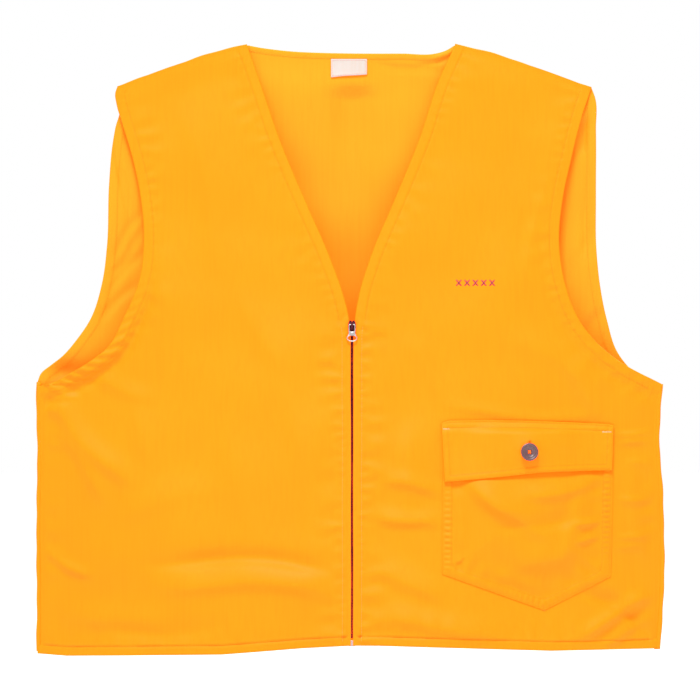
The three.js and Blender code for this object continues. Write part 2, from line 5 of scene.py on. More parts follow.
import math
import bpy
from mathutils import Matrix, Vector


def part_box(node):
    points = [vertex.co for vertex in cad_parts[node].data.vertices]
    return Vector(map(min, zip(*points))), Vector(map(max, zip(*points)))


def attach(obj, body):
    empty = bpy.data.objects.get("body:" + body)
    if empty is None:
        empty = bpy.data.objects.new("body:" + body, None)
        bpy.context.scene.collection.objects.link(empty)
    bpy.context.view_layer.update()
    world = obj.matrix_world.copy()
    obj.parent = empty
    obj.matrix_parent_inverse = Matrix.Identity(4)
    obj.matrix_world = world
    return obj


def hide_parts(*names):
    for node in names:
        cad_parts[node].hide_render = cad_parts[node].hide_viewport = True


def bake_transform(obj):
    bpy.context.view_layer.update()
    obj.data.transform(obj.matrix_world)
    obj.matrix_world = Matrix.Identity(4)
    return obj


bl_info = {
    "name": "Field Vest",
    "version": (1, 0, 0),
    "blender": (4, 5, 0),
    "location": "View3D > Sidebar > Vest",
    "description": "Makes a zip-front field vest with a buttoned patch pocket, piece by piece",
    "category": "Add Mesh",
}

import bmesh
import bpy
import numpy as np
from bpy.props import FloatProperty, FloatVectorProperty, PointerProperty
from mathutils import Matrix, Vector
from mathutils.bvhtree import BVHTree

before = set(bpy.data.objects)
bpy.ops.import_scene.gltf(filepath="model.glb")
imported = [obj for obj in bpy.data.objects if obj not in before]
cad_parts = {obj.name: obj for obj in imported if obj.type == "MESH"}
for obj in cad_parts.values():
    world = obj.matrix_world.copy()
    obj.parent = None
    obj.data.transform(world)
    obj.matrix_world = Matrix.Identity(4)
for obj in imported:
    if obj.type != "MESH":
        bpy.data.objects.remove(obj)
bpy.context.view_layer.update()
MM = 0.001
MADE = {}


# ---- Settings ----
def length_setting(name, description, default):
    return FloatProperty(name=name, description=description, default=default * MM, unit="LENGTH", min=0.0)


def colour_setting(name, description, default):
    return FloatVectorProperty(
        name=name, description=description, default=default, subtype="COLOR", size=3, min=0.0, max=1.0
    )


class VestSizes(bpy.types.PropertyGroup):
    cloth: length_setting("Cloth", "Thickness of one layer of cloth", 0.5)
    turned: length_setting("Turned edge", "Thickness of a hem or bound edge", 1.35)
    neck_band: length_setting("Neck band", "Width of the turned neck edge", 11)
    arm_band: length_setting("Armhole band", "Width of the turned armhole edge", 11)
    hem_band: length_setting("Hem", "Depth of the hem", 10)
    facing_band: length_setting("Zip facing", "Width of the turned edge beside the zip", 9)
    pocket_loft: length_setting("Pocket fullness", "How far the pocket stands off the front", 8.5)
    stitch: length_setting("Stitch", "Length of one topstitch", 2.1)
    stitch_gap: length_setting("Stitch spacing", "From one topstitch to the next", 2.9)


class VestFinish(bpy.types.PropertyGroup):
    cloth: colour_setting("Cloth", "Colour of the outer face of the cloth", (1.0, 0.111, 0.0012))
    inside: colour_setting("Inside", "Colour of the inner face of the cloth", (1.0, 0.128, 0.004))
    # The topstitching thread is its own orange made a little darker than the cloth: painted shade for the
    # grooves the stitching pulls in.
    thread: colour_setting("Thread", "Colour of the topstitching", (1.0, 0.1005, 0.003))
    zip_thread: colour_setting("Zip thread", "Colour of the stitching beside the zip", (1.0, 0.165, 0.034))
    tack: colour_setting("Tack thread", "Colour of the bartacks", (0.95, 0.25, 0.13))
    tape: colour_setting("Zip tape", "Colour of the zip tape and teeth", (0.016, 0.002, 0.006))
    button: colour_setting("Button", "Colour of the button", (0.046, 0.019, 0.021))
    motif: colour_setting("Motif", "Colour of the embroidered crosses", (0.13, 0.007, 0.006))


# ---- Shape of the garment ----
BODY_LENGTH = 606.0
HALF_CHEST = 312.5
HEM_DEPTH = 80.0
SIDE_FULLNESS = 2.2
NECK_HALF = 104.0
SHOULDER_REACH = 239.0
SHOULDER_FALL = 46.0
SEAM_GAP = 1.5
NECK_BOTTOM = -277.0
HEM_LINE = -BODY_LENGTH
LIP = 1.45  # centre line to the cloth edge that half covers the teeth
ZIP_LEAN = math.atan(HEM_DEPTH / BODY_LENGTH)
SIDES = {"left": 1, "right": -1}


def shoulder_drop(x):
    slope = SHOULDER_FALL / (SHOULDER_REACH - NECK_HALF)
    return np.maximum(0, np.abs(x) - NECK_HALF) * slope


def front_depth(x, z):
    """Distance from the back's inner face forward to the front's inner face."""
    below = np.maximum(0, -z - shoulder_drop(x))
    across = 1 - np.minimum(1, np.abs(x) / HALF_CHEST) ** SIDE_FULLNESS
    return SEAM_GAP + HEM_DEPTH * (below / BODY_LENGTH) * across


def smoothstep(low, high, value):
    t = np.clip((value - low) / (high - low), 0, 1)
    return t * t * (3 - 2 * t)


def smooth_line(controls, step=3.0):
    """A smooth line of (x, z) points through the controls, one about every step."""
    p = np.array(controls, float)
    chord = np.concatenate([[0], np.cumsum(np.linalg.norm(np.diff(p, axis=0), axis=1))])
    slope = np.gradient(p, chord, axis=0)
    at = np.linspace(0, chord[-1], max(2, int(chord[-1] / step) + 1))
    k = np.clip(np.searchsorted(chord, at, side="right") - 1, 0, len(p) - 2)
    h = (chord[k + 1] - chord[k])[:, None]
    t = ((at - chord[k])[:, None]) / h
    return (
        (2 * t**3 - 3 * t**2 + 1) * p[k]
        + (t**3 - 2 * t**2 + t) * h * slope[k]
        + (3 * t**2 - 2 * t**3) * p[k + 1]
        + (t**3 - t**2) * h * slope[k + 1]
    )


def along_line(line):
    return np.concatenate([[0], np.cumsum(np.linalg.norm(np.diff(line, axis=0), axis=1))])


def resample(line, shares):
    """Points at these shares, 0 to 1, of a line's length."""
    along = along_line(line)
    return np.stack([np.interp(np.asarray(shares) * along[-1], along, line[:, k]) for k in (0, 1)], axis=1)


def nearest(line, x, z):
    """(distance from each point to a line, how far along the line the nearest place is)."""
    points = np.stack([x, z], axis=-1).reshape(-1, 2)
    a, b = line[:-1], line[1:]
    edge = b - a
    length2 = np.maximum((edge**2).sum(1), 1e-9)
    start = along_line(line)[:-1]
    best = np.full(len(points), np.inf)
    place = np.zeros(len(points))
    for i in range(len(a)):
        t = np.clip((points - a[i]) @ edge[i] / length2[i], 0, 1)
        d = np.linalg.norm(points - a[i] - t[:, None] * edge[i], axis=1)
        closer = d < best
        best[closer] = d[closer]
        place[closer] = (start[i] + t * math.sqrt(length2[i]))[closer]
    return best.reshape(x.shape), place.reshape(x.shape)


def offset_line(line, distance):
    """The line moved sideways, to the left of the way it runs."""
    d = np.gradient(line, axis=0)
    d /= np.linalg.norm(d, axis=1)[:, None]
    return line + distance * np.stack([-d[:, 1], d[:, 0]], axis=1)


# ---- Outlines, measured from the centre line (x) and down from the shoulder high point (z) ----
NECK_EDGE = {
    "left": [
        (103, 0), (87, -35), (67, -95), (42.5, -155), (17.5, -215), (6.5, -252), (3.4, -270), (2.6, -277),
    ],
    "right": [
        (105, 0), (92.5, -35), (72, -95), (47, -155), (21, -215), (8, -252), (3.6, -270), (2.6, -277),
    ],
}
FRONT_ARM_EDGE = {
    "left": [
        (239.5, -43), (236.8, -51), (231.3, -67), (226, -86), (219, -115), (210.5, -155), (207, -195),
        (212, -235), (227, -275), (244, -297), (267, -316), (309.5, -339),
    ],
    "right": [
        (234.7, -42), (236.8, -48), (235.5, -59), (230.3, -77), (219, -115), (211, -155), (208, -195),
        (212.5, -235), (229, -275), (242, -300), (262, -316.5), (282, -328.5), (298, -337), (314, -341),
    ],
}
BACK_ARM_EDGE = {
    "left": [
        (239.5, -43), (243, -52), (244, -85), (244, -150), (244.5, -205), (248, -240), (255, -275),
        (266, -308), (280, -325), (309.5, -339),
    ],
    "right": [
        (234.7, -42), (232, -66), (236.5, -82), (239, -96), (243, -140), (245, -200), (250, -238),
        (262, -275), (274, -293), (290, -311.5), (301, -320), (311.5, -329), (314.5, -337),
    ],
}
SIDE_EDGE = {
    "left": [(309.5, -339), (307, -365), (306, -395), (309.5, -450), (311, -510), (309, -570), (306, -604)],
    "right": [(314.5, -337), (314.5, -360), (313.5, -420), (314.5, -480), (314, -540), (314.5, -606)],
}
HEM_SHAPE = [
    (-315, -608.5), (-285, -610.5), (-129, -608), (-50, -601.5), (0, -598.8), (28, -599), (110, -601.6),
    (199, -604.7), (301, -603.4), (305, -602.2), (309, -599.5), (312, -599.5),
]
BACK_NECK = [
    (-105, 0), (-92, -2.6), (-79, -4.4), (-60, -6.4), (-30, -7.8), (0, -8.4), (50, -8.5), (84, -8.4),
    (94, -5.5), (103, 0),
]


def hem_z(x):
    line = np.array(HEM_SHAPE, float)
    return np.interp(x, line[:, 0], line[:, 1])


def mirror(line, sign):
    return line * np.array([sign, 1.0])


# ---- Folds and creases: from, to, half width, height outward ----
SOFT_FOLDS = [
    (-306, -356, -222, -440, 11, 2.6), (-296, -382, -246, -456, 8, 1.6), (-262, -330, -196, -356, 9, 1.0),
    (-196, -514, -14, -522, 8, -2.4), (-190, -536, -20, -543, 12, 2.4), (-306, -510, -262, -532, 5, 1.8),
    (-310, -344, -284, -349, 2.2, 1.9), (-311, -352, -276, -353, 2.6, 2.2), (-308, -398, -292, -403, 3, 1.0),
    (-214, -150, -186, -262, 10, 1.1), (-170, -60, -128, -216, 18, 1.0), (-58, -330, -40, -560, 14, 1.1),
    (-240, -470, -130, -440, 16, 1.2), (-110, -250, -70, -330, 14, 1.0), (-285, -566, -180, -584, 12, 1.4),
    (-225, -345, -200, -420, 10, 0.9), (-130, -380, -90, -500, 18, 0.9), (-250, -590, -130, -580, 9, -1.0),
    (232, -546, 304, -588, 8, -2.2), (224, -590, 308, -548, 7, 2.8), (250, -600, 306, -570, 6, 1.6),
    (306, -386, 266, -389, 3.2, 1.6), (304, -397, 268, -396, 3.2, 1.4), (304, -419, 274, -416, 4, 0.9),
    (300, -456, 266, -453, 4, 1.2), (296, -489, 266, -493, 4, 1.2), (292, -502, 264, -500, 4, 0.8),
    (214, -322, 246, -368, 9, 1.2), (22, -470, 86, -479, 8, 2.1), (30, -432, 87, -447, 8, 1.9),
    (112, -60, 168, -232, 18, 1.0), (56, -292, 92, -356, 12, 1.0), (26, -575, 150, -585, 11, 2.2),
    (196, -120, 176, -236, 10, 0.9), (272, -420, 296, -520, 10, 1.0), (60, -380, 50, -470, 12, 1.4),
    (150, -290, 240, -330, 14, 1.0), (22, -516, 92, -556, 12, 2.2), (96, -366, 250, -372, 6, 1.0),
]
BACK_FOLDS = [
    (-240, -330, -120, -420, 16, 1.6), (238, -330, 130, -430, 16, 1.5), (-60, -60, -30, -330, 22, 1.4),
    (70, -120, 40, -420, 24, 1.3), (-230, -560, -60, -575, 14, 1.2), (80, -540, 250, -560, 14, 1.3),
    (-200, -80, -150, -250, 18, 1.1), (190, -80, 160, -260, 18, 1.0), (-235, -84, -226, -190, 3.5, 1.6),
    (-240, -214, -208, -164, 4, 1.3), (-242, -232, -206, -184, 4, 1.3), (-246, -250, -206, -204, 4.5, 1.2),
    (-252, -276, -214, -236, 5, 1.4), (236, -70, 226, -108, 4, 2.4), (233, -112, 236, -210, 5, 1.4),
    (240, -180, 218, -240, 6, 1.2), (254, -262, 222, -300, 6, 1.2),
    (-110, -400, -150, -640, 20, 3.4), (56, -360, 88, -640, 24, -3.4), (186, -300, 150, -570, 18, 2.6),
    (-196, -330, -214, -600, 15, -2.2), (-140, -110, -70, -330, 22, 2.0), (150, -110, 84, -340, 22, 2.0),
]


def folds(x, z, table):
    out = np.zeros_like(x)
    for x0, z0, x1, z1, width, height in table:
        dx, dz = x1 - x0, z1 - z0
        length = math.hypot(dx, dz)
        t = ((x - x0) * dx + (z - z0) * dz) / length**2
        side = ((x - x0) * dz - (z - z0) * dx) / length
        side = side + 0.03 * length * np.sin(t * 5.1 + x0)
        taper = smoothstep(-0.15, 0.3, t) * smoothstep(1.15, 0.7, t)
        steep = np.where(side > 0, 0.75, 1.25)
        out += height * taper * np.exp(-((side / (width * steep)) ** 2))
    return out


def undulation(x, z, seed=0.0):
    """Broad, shallow unevenness of cloth that has hung and been handled."""
    waves = [
        (0.018, 0.031, 0.55, 0.3), (0.043, -0.012, 0.36, 1.7), (-0.027, 0.052, 0.30, 2.9),
        (0.075, 0.021, 0.16, 4.1), (0.033, 0.088, 0.13, 5.3), (-0.096, 0.047, 0.10, 0.9),
    ]
    out = np.zeros_like(x)
    for kx, kz, height, phase in waves:
        bend = 0.9 * np.sin(0.011 * x * (1 + kx) - 0.014 * z + phase + seed)
        out += height * np.sin(kx * x + kz * z + phase * (1 + seed) + bend)
    return out


def pucker(distance, place, stitch_at, reach=4.0, height=0.26, pitch=7.5, seed=0.0):
    """The ripple that a row of stitching draws up in the cloth beside it."""
    drift = 1.3 * np.sin(place / 31.0 + seed) + 0.9 * np.sin(place / 12.7 + 2 * seed)
    swell = 0.55 + 0.45 * np.sin(place / 23.0 + 3 * seed)
    ripple = np.sin(2 * math.pi * place / pitch + drift)
    return height * swell * ripple * np.exp(-(((distance - stitch_at) / reach) ** 2))


# ---- Meshes ----
def new_object(name, vertices, faces, materials, face_material=None):
    """A smooth-shaded mesh object from points in millimetres."""
    mesh = bpy.data.meshes.new(name)
    mesh.from_pydata((np.asarray(vertices) * MM).tolist(), [], [list(map(int, f)) for f in faces])
    for m in materials:
        mesh.materials.append(m)
    mesh.polygons.foreach_set("use_smooth", [True] * len(mesh.polygons))
    if face_material is not None:
        mesh.polygons.foreach_set("material_index", list(map(int, face_material)))
    mesh.validate()
    mesh.update()
    made = bpy.data.objects.new(name, mesh)
    bpy.context.scene.collection.objects.link(made)
    return made


def shell(name, outer, inner, materials, keep=None):
    """A closed sheet between two grids of points. keep marks the grid's cells that are cloth."""
    rows, cols = outer.shape[:2]
    keep = np.ones((rows - 1, cols - 1), bool) if keep is None else keep
    count = rows * cols
    index = np.arange(count).reshape(rows, cols)
    quads = np.stack([index[:-1, :-1], index[:-1, 1:], index[1:, 1:], index[1:, :-1]], axis=-1)[keep]
    faces = [quads, quads[:, ::-1] + count]
    edges = np.concatenate([quads[:, [k, (k + 1) % 4]] for k in range(4)])
    turned = {(b, a) for a, b in edges.tolist()}
    rim = np.array([(a, b) for a, b in edges.tolist() if (a, b) not in turned])
    faces.append(np.stack([rim[:, 1], rim[:, 0], rim[:, 0] + count, rim[:, 1] + count], axis=1))
    points = np.concatenate([outer.reshape(-1, 3), inner.reshape(-1, 3)])
    slots = np.concatenate([np.zeros(len(quads)), np.ones(len(quads)), np.zeros(len(rim))])
    all_faces = np.concatenate(faces)
    a, b, c, d = (points[all_faces[:, k]] for k in range(4))
    volume = (np.cross(b - a, c - a) * a).sum() + (np.cross(c - a, d - a) * a).sum()
    if volume < 0:
        all_faces = all_faces[:, ::-1]
    if len(materials) < 2:
        slots[:] = 0
    used, compact = np.unique(all_faces, return_inverse=True)
    return new_object(name, points[used], compact.reshape(all_faces.shape), materials, slots)


def sweep(name, centres, section, axes_u, axes_v, materials, closed=False):
    """A tube: the section's (u, v) points carried along the centres on two axes at each."""
    n, k = len(centres), len(section)
    section = np.asarray(section, float)
    points = (
        centres[:, None, :]
        + section[None, :, 0:1] * axes_u[:, None, :]
        + section[None, :, 1:2] * axes_v[:, None, :]
    ).reshape(-1, 3)
    faces = []
    for i in range(n if closed else n - 1):
        a, b = i * k, ((i + 1) % n) * k
        faces += [(a + j, a + (j + 1) % k, b + (j + 1) % k, b + j) for j in range(k)]
    if not closed:
        faces += [tuple(range(k))[::-1], tuple((n - 1) * k + j for j in range(k))]
    return new_object(name, points, faces, materials)


def outward(made):
    """Turns a closed mesh's faces outward."""
    bm = bmesh.new()
    bm.from_mesh(made.data)
    bmesh.ops.remove_doubles(bm, verts=bm.verts, dist=1e-6)
    bmesh.ops.recalc_face_normals(bm, faces=bm.faces)
    bm.to_mesh(made.data)
    bm.free()
    return made


def join(name, parts):
    """One object from several that share a body."""
    bpy.ops.object.select_all(action="DESELECT")
    for p in parts:
        p.select_set(True)
    bpy.context.view_layer.objects.active = parts[0]
    bpy.ops.object.join()
    parts[0].name = name
    return parts[0]


def plate(name, outline, back, thickness, bevel, material, holes=(), matrix=None):
    """A flat piece cut to an (x, z) outline with rounded rims, from y = back forward."""
    curve = bpy.data.curves.new(name, "CURVE")
    curve.dimensions = "2D"
    curve.fill_mode = "BOTH"
    curve.extrude = (thickness / 2 - bevel) * MM
    curve.bevel_depth = bevel * MM
    curve.offset = -bevel * MM
    curve.bevel_resolution = 2
    for ring in (outline, *holes):
        spline = curve.splines.new("POLY")
        spline.points.add(len(ring) - 1)
        for point, (x, z) in zip(spline.points, ring):
            point.co = (x * MM, z * MM, 0, 1)
        spline.use_cyclic_u = True
    made = bpy.data.objects.new(name, curve)
    bpy.context.scene.collection.objects.link(made)
    mesh = bpy.data.meshes.new_from_object(made.evaluated_get(bpy.context.evaluated_depsgraph_get()))
    bpy.data.objects.remove(made)
    bpy.data.curves.remove(curve)
    solid = bpy.data.objects.new(name, mesh)
    bpy.context.scene.collection.objects.link(solid)
    mesh.materials.clear()
    mesh.materials.append(material)
    place = Matrix.Translation((0, (back - thickness / 2) * MM, 0)) @ Matrix.Rotation(math.pi / 2, 4, "X")
    mesh.transform((matrix or Matrix.Identity(4)) @ place)
    outward(solid)
    for polygon in mesh.polygons:
        polygon.use_smooth = True
    sharpen(solid)
    return solid


def sharpen(made, angle=40):
    """Keeps crisp corners crisp under smooth shading."""
    made.data.set_sharp_from_angle(angle=math.radians(angle))


def rounded(x0, x1, z0, z1, radius, steps=5):
    """A rectangle's outline with rounded corners."""
    ring = []
    for cx, cz, start in (
        (x1 - radius, z1 - radius, 0), (x0 + radius, z1 - radius, 90),
        (x0 + radius, z0 + radius, 180), (x1 - radius, z0 + radius, 270),
    ):
        for k in range(steps + 1):
            a = math.radians(start + 90 * k / steps)
            ring.append((cx + radius * math.cos(a), cz + radius * math.sin(a)))
    return ring


class Surface:
    """The outer face of a sheet, to lay other pieces on."""

    def __init__(self, grid):
        rows, cols = grid.shape[:2]
        index = np.arange(rows * cols).reshape(rows, cols)
        quads = np.stack([index[:-1, :-1], index[:-1, 1:], index[1:, 1:], index[1:, :-1]], axis=-1)
        self.tree = BVHTree.FromPolygons(grid.reshape(-1, 3).tolist(), quads.reshape(-1, 4).tolist())

    def at(self, x, z, forward=-1):
        """(point, normal) where a line along Y meets the face; forward is the way the face looks."""
        hit, normal, _, _ = self.tree.ray_cast(Vector((x, 400 * forward, z)), Vector((0, -forward, 0)))
        if hit is None:
            hit, normal, _, _ = self.tree.find_nearest(Vector((x, -30, z)))
        if normal.y * forward < 0:
            normal = -normal
        return np.array(hit), np.array(normal)

    def level(self, x, z):
        """The face's y at each (x, z)."""
        found = [self.at(a, b)[0][1] for a, b in zip(x.ravel(), z.ravel())]
        return np.array(found).reshape(x.shape)


def laid(x, z, level, lift, thick):
    """(outer, inner) faces of cloth that stands off a face at this level."""
    return np.stack([x, level - (lift + thick), z], axis=-1), np.stack([x, level - lift, z], axis=-1)


def circle(count, across=1.0, along=None):
    """Points round a circle, or round an oval."""
    along = across if along is None else along
    turns = np.linspace(0, 2 * math.pi, count + 1)[:-1]
    return [(across * math.cos(t), along * math.sin(t)) for t in turns]


# ---- Materials ----
class Socket:
    """A shader value that Python's operators can be used on."""

    def __init__(self, tree, link):
        self.tree, self.link = tree, link

    def maths(self, operation, first, second):
        return self.tree.node("ShaderNodeMath", {"operation": operation}, {0: first, 1: second})[0]

    def __add__(self, other):
        return self.maths("ADD", self, other)

    def __radd__(self, other):
        return self.maths("ADD", other, self)

    def __sub__(self, other):
        return self.maths("SUBTRACT", self, other)

    def __rsub__(self, other):
        return self.maths("SUBTRACT", other, self)

    def __mul__(self, other):
        return self.maths("MULTIPLY", self, other)

    def __rmul__(self, other):
        return self.maths("MULTIPLY", other, self)


class Finish:
    """A material's node tree."""

    def __init__(self, name):
        self.material = bpy.data.materials.new(name)
        self.material.use_nodes = True
        self.nodes = self.material.node_tree.nodes
        self.shader = self.nodes["Principled BSDF"]

    def node(self, kind, settings=None, inputs=None):
        made = self.nodes.new(kind)
        for key, value in (settings or {}).items():
            setattr(made, key, value)
        for key, value in (inputs or {}).items():
            self.feed(made.inputs[key], value)
        return [Socket(self, out) for out in made.outputs]

    def feed(self, socket, value):
        if isinstance(value, Socket):
            self.material.node_tree.links.new(value.link, socket)
        else:
            socket.default_value = value

    def set(self, **values):
        for key, value in values.items():
            self.feed(self.shader.inputs[key.replace("_", " ").title().replace("Ior", "IOR")], value)

    def blend(self, share, first, second):
        return self.node("ShaderNodeMix", {"data_type": "RGBA"}, {0: share, 6: first, 7: second})[2]

    def noise(self, scale, detail, stretch=(1, 1, 1)):
        place = self.node("ShaderNodeTexCoord")[3]
        moved = self.node("ShaderNodeMapping", {}, {0: place, 3: stretch})[0]
        return self.node("ShaderNodeTexNoise", {}, {"Vector": moved, "Scale": scale, "Detail": detail})[0]

    def bump(self, height, distance, strength):
        inputs = {"Height": height, "Distance": distance, "Strength": strength}
        return self.node("ShaderNodeBump", {}, inputs)[0]


PAINTED_GLOW = 0.22  # strength of a painted glow on the dyed cloth and thread that keeps their red bright in shade; it stands in for the dye's fluorescence
PAINTED_GLOW_COLOUR = (1.0, 0.16, 0.0, 1.0)


def shade(colour, factor):
    return (*[min(1.0, c * factor) for c in colour], 1.0)


def weave(finish, pitch):
    """Height of a plain weave: two sets of threads that pass over and under each other."""
    place = finish.node("ShaderNodeTexCoord")[3]
    bands = []
    for axis in ("X", "Z"):
        settings = {"wave_type": "BANDS", "bands_direction": axis}
        inputs = {"Vector": place, "Scale": 0.314 / pitch / MM, "Distortion": 0.6, "Detail": 1.0}
        bands.append(finish.node("ShaderNodeTexWave", settings, inputs)[1])
    return bands[0] * bands[1]


def woven_cloth(name, colour, pitch=0.5, painted_glow=0.0, slub=0.06):
    """Plain woven cloth with slubs in its upright threads, slight mottling and a soft nap."""
    finish = Finish(name)
    mottle = finish.noise(9.0, 4.0)
    slubs = finish.noise(420.0, 3.0, (1.0, 1.0, 0.02))
    picks = finish.noise(140.0, 2.0, (0.05, 1.0, 1.0))
    tone = finish.blend(mottle, shade(colour, 1 - slub), shade(colour, 1 + slub))
    drawn = (slubs - 0.42) * 2.4
    tone = finish.blend(drawn * 0.5, tone, shade((colour[0], colour[1] * 0.86, colour[2] * 0.7), 1.0))
    height = weave(finish, pitch) * 0.5 + slubs * 0.9 + picks * 0.5
    finish.set(
        base_color=tone,
        roughness=mottle * 0.1 + 0.5,
        normal=finish.bump(height, 0.00012, 0.55),
        specular_ior_level=0.055,
    )
    # A painted glow, the same under any lamp, keeps the cloth's red bright in shade.
    if painted_glow:
        finish.set(emission_color=PAINTED_GLOW_COLOUR, emission_strength=painted_glow)
    return finish.material


def sewing_thread(name, colour, painted_glow=0.0, shine=0.5):
    """Twisted thread: fine slanting ridges."""
    finish = Finish(name)
    twist = finish.noise(1800.0, 2.0, (1.0, 1.0, 0.6))
    finish.set(
        base_color=finish.blend(twist, shade(colour, 0.86), shade(colour, 1.05)),
        roughness=0.6 + twist * 0.15,
        normal=finish.bump(twist, 0.0001, 0.6),
        specular_ior_level=shine,
    )
    # A painted glow, the same under any lamp, keeps the thread's colour bright in shade.
    if painted_glow:
        finish.set(emission_color=PAINTED_GLOW_COLOUR, emission_strength=painted_glow)
    return finish.material


def moulded(name, colour, roughness, grain=500.0, shine=0.4):
    """Moulded plastic or enamel with faint unevenness and rubbed high spots."""
    finish = Finish(name)
    rub = finish.noise(grain, 3.0)
    finish.set(
        base_color=finish.blend(rub, shade(colour, 0.85), shade(colour, 1.25)),
        roughness=rub * 0.15 + roughness,
        normal=finish.bump(rub, 0.00008, 0.35),
        specular_ior_level=shine,
    )
    return finish.material


def plated_metal(name, colour):
    """Plated metal with fine scratches."""
    finish = Finish(name)
    scratches = finish.noise(900.0, 4.0, (1.0, 1.0, 0.12))
    finish.set(
        base_color=finish.blend(scratches, shade(colour, 0.9), shade(colour, 1.08)),
        roughness=scratches * 0.2 + 0.32,
        metallic=0.95,
        normal=finish.bump(scratches, 0.00004, 0.3),
    )
    return finish.material


def finish_named(name):
    """The vest's materials, each made once."""
    if name not in MADE:
        colours = bpy.context.scene.vest_finish
        cloth, inside, thread = tuple(colours.cloth), tuple(colours.inside), tuple(colours.thread)
        makers = {
            "blaze cloth": lambda: woven_cloth("blaze_cloth", cloth, painted_glow=PAINTED_GLOW),
            "cloth inside": lambda: woven_cloth("cloth_inside", inside, painted_glow=PAINTED_GLOW),
            # The orange thread's colour carries painted shade for the stitching grooves.
            "orange thread": lambda: sewing_thread("orange_thread", thread, painted_glow=PAINTED_GLOW, shine=0.08),
            "zip thread": lambda: sewing_thread("zip_thread", tuple(colours.zip_thread), painted_glow=PAINTED_GLOW),
            "tack thread": lambda: sewing_thread("tack_thread", tuple(colours.tack)),
            "motif thread": lambda: sewing_thread("motif_thread", tuple(colours.motif)),
            "zip tape": lambda: woven_cloth("zip_tape", tuple(colours.tape), pitch=0.4),
            "zip teeth": lambda: moulded("zip_teeth", shade(colours.tape, 1.1)[:3], 0.7, shine=0.03),
            "slider enamel": lambda: moulded("slider_enamel", (0.035, 0.006, 0.009), 0.55, shine=0.06),
            "silver plate": lambda: plated_metal("silver_plate", (0.27, 0.255, 0.25)),
            "button horn": lambda: moulded("button_horn", tuple(colours.button), 0.38, 260.0),
            "label satin": lambda: woven_cloth("label_satin", (0.265, 0.233, 0.214), pitch=0.25, slub=0.02),
            "label edge": lambda: sewing_thread("label_edge", (0.44, 0.17, 0.13)),
        }
        MADE[name] = makers[name]()
    return MADE[name]


def cloth_pair():
    return [finish_named("blaze cloth"), finish_named("cloth inside")]


# ---- Grids of cloth ----
FINE = [0, 0.3, 0.8, 1.6, 2.8, 4.2, 5.6, 7.0, 8.2, 9.2, 10.2, 11.4, 13.0]


def fine_ends(length, middle):
    """Places along a length, close together near both ends."""
    near = np.array(FINE)
    between = np.linspace(near[-1], length - near[-1], middle + 2)[1:-1]
    return np.concatenate([near, between, length - near[::-1]])


def round_over(distance, reach=0.9):
    """How full a rolled edge is at a distance from its very end, 0 to 1."""
    return np.sqrt(1 - (1 - np.clip(distance / reach, 0, 1)) ** 2)


def turned_edge(distance, band, sizes):
    """Thickness of cloth at a distance from an edge that is turned under and sewn."""
    thin, thick = sizes.cloth / MM, sizes.turned / MM
    flat = thin + (thick - thin) * smoothstep(band + 0.5, band - 0.7, distance)
    return 0.3 + (flat - 0.3) * round_over(distance)


def groove(distance, at, depth=0.38):
    """The line a row of stitching pulls into the cloth."""
    return depth * np.exp(-(((distance - at) / 0.8) ** 2))


def front_grid(side):
    """(x, z, lines) of a front: rows run from the neck and zip to the armhole and side."""
    sign = SIDES[side]
    neck = smooth_line(NECK_EDGE[side])
    zip_z = np.concatenate([np.linspace(-277, -292, 6), np.linspace(-297, hem_z(np.array(0.0)), 80)])
    wander = 0.11 * np.sin(zip_z / 21.0 + sign) + 0.06 * np.sin(zip_z / 8.3)
    lip = LIP + (wander - 0.30 * smoothstep(-300, -420, zip_z)) * smoothstep(-283, -310, zip_z)
    zip_line = np.stack([lip + 1.35 * smoothstep(-290, -277, zip_z), zip_z], axis=1)
    arm = smooth_line(FRONT_ARM_EDGE[side])
    side_line = smooth_line(SIDE_EDGE[side])
    inner = np.concatenate([neck, zip_line[1:]])
    outer = np.concatenate([arm, side_line[1:]])
    rows = fine_ends(BODY_LENGTH, 235) / BODY_LENGTH
    a, b = resample(inner, rows), resample(outer, rows)
    x, z = [], []
    for v, p, q in zip(rows, a, b):
        length = np.linalg.norm(q - p)
        s = fine_ends(length, 84) / length
        x.append(p[0] + s * (q[0] - p[0]))
        arch = 3.2 * np.sin(math.pi * s) * (1 - v) ** 8
        z.append(p[1] + s * (q[1] - p[1]) + arch)
    x, z = np.array(x), np.array(z)
    # The foot of each row set moves to the hem's own shape.
    foot = hem_z(sign * x[-1])
    start = z[-1].copy()
    z = z + (foot - start) * smoothstep(0.5, 1.0, rows)[:, None]
    hem = np.stack([x[-1], z[-1]], axis=1)
    shoulder = np.stack([x[0], z[0]], axis=1)
    lines = {"neck": neck, "zip": zip_line, "arm": arm, "side": side_line, "hem": hem, "shoulder": shoulder}
    return x * sign, z, {k: mirror(line, sign) for k, line in lines.items()}


def front_thickness(near, bands, sizes):
    """Thickness of a front, with its turned edges and the lines that stitching pulls into it."""
    thick = np.full_like(near["neck"][0], sizes.cloth / MM)
    for name, (band, _) in bands.items():
        thick = np.maximum(thick, turned_edge(near[name][0], band, sizes))
    for name in ("neck", "arm", "hem"):
        thick = np.minimum(thick, 0.3 + 2.0 * round_over(near[name][0]))
    for name, (band, _) in bands.items():
        thick -= groove(near[name][0], band - 1.0, 1.15 if name == "hem" else 0.75)
    return thick - groove(near["side"][0], 4.6, 0.22)


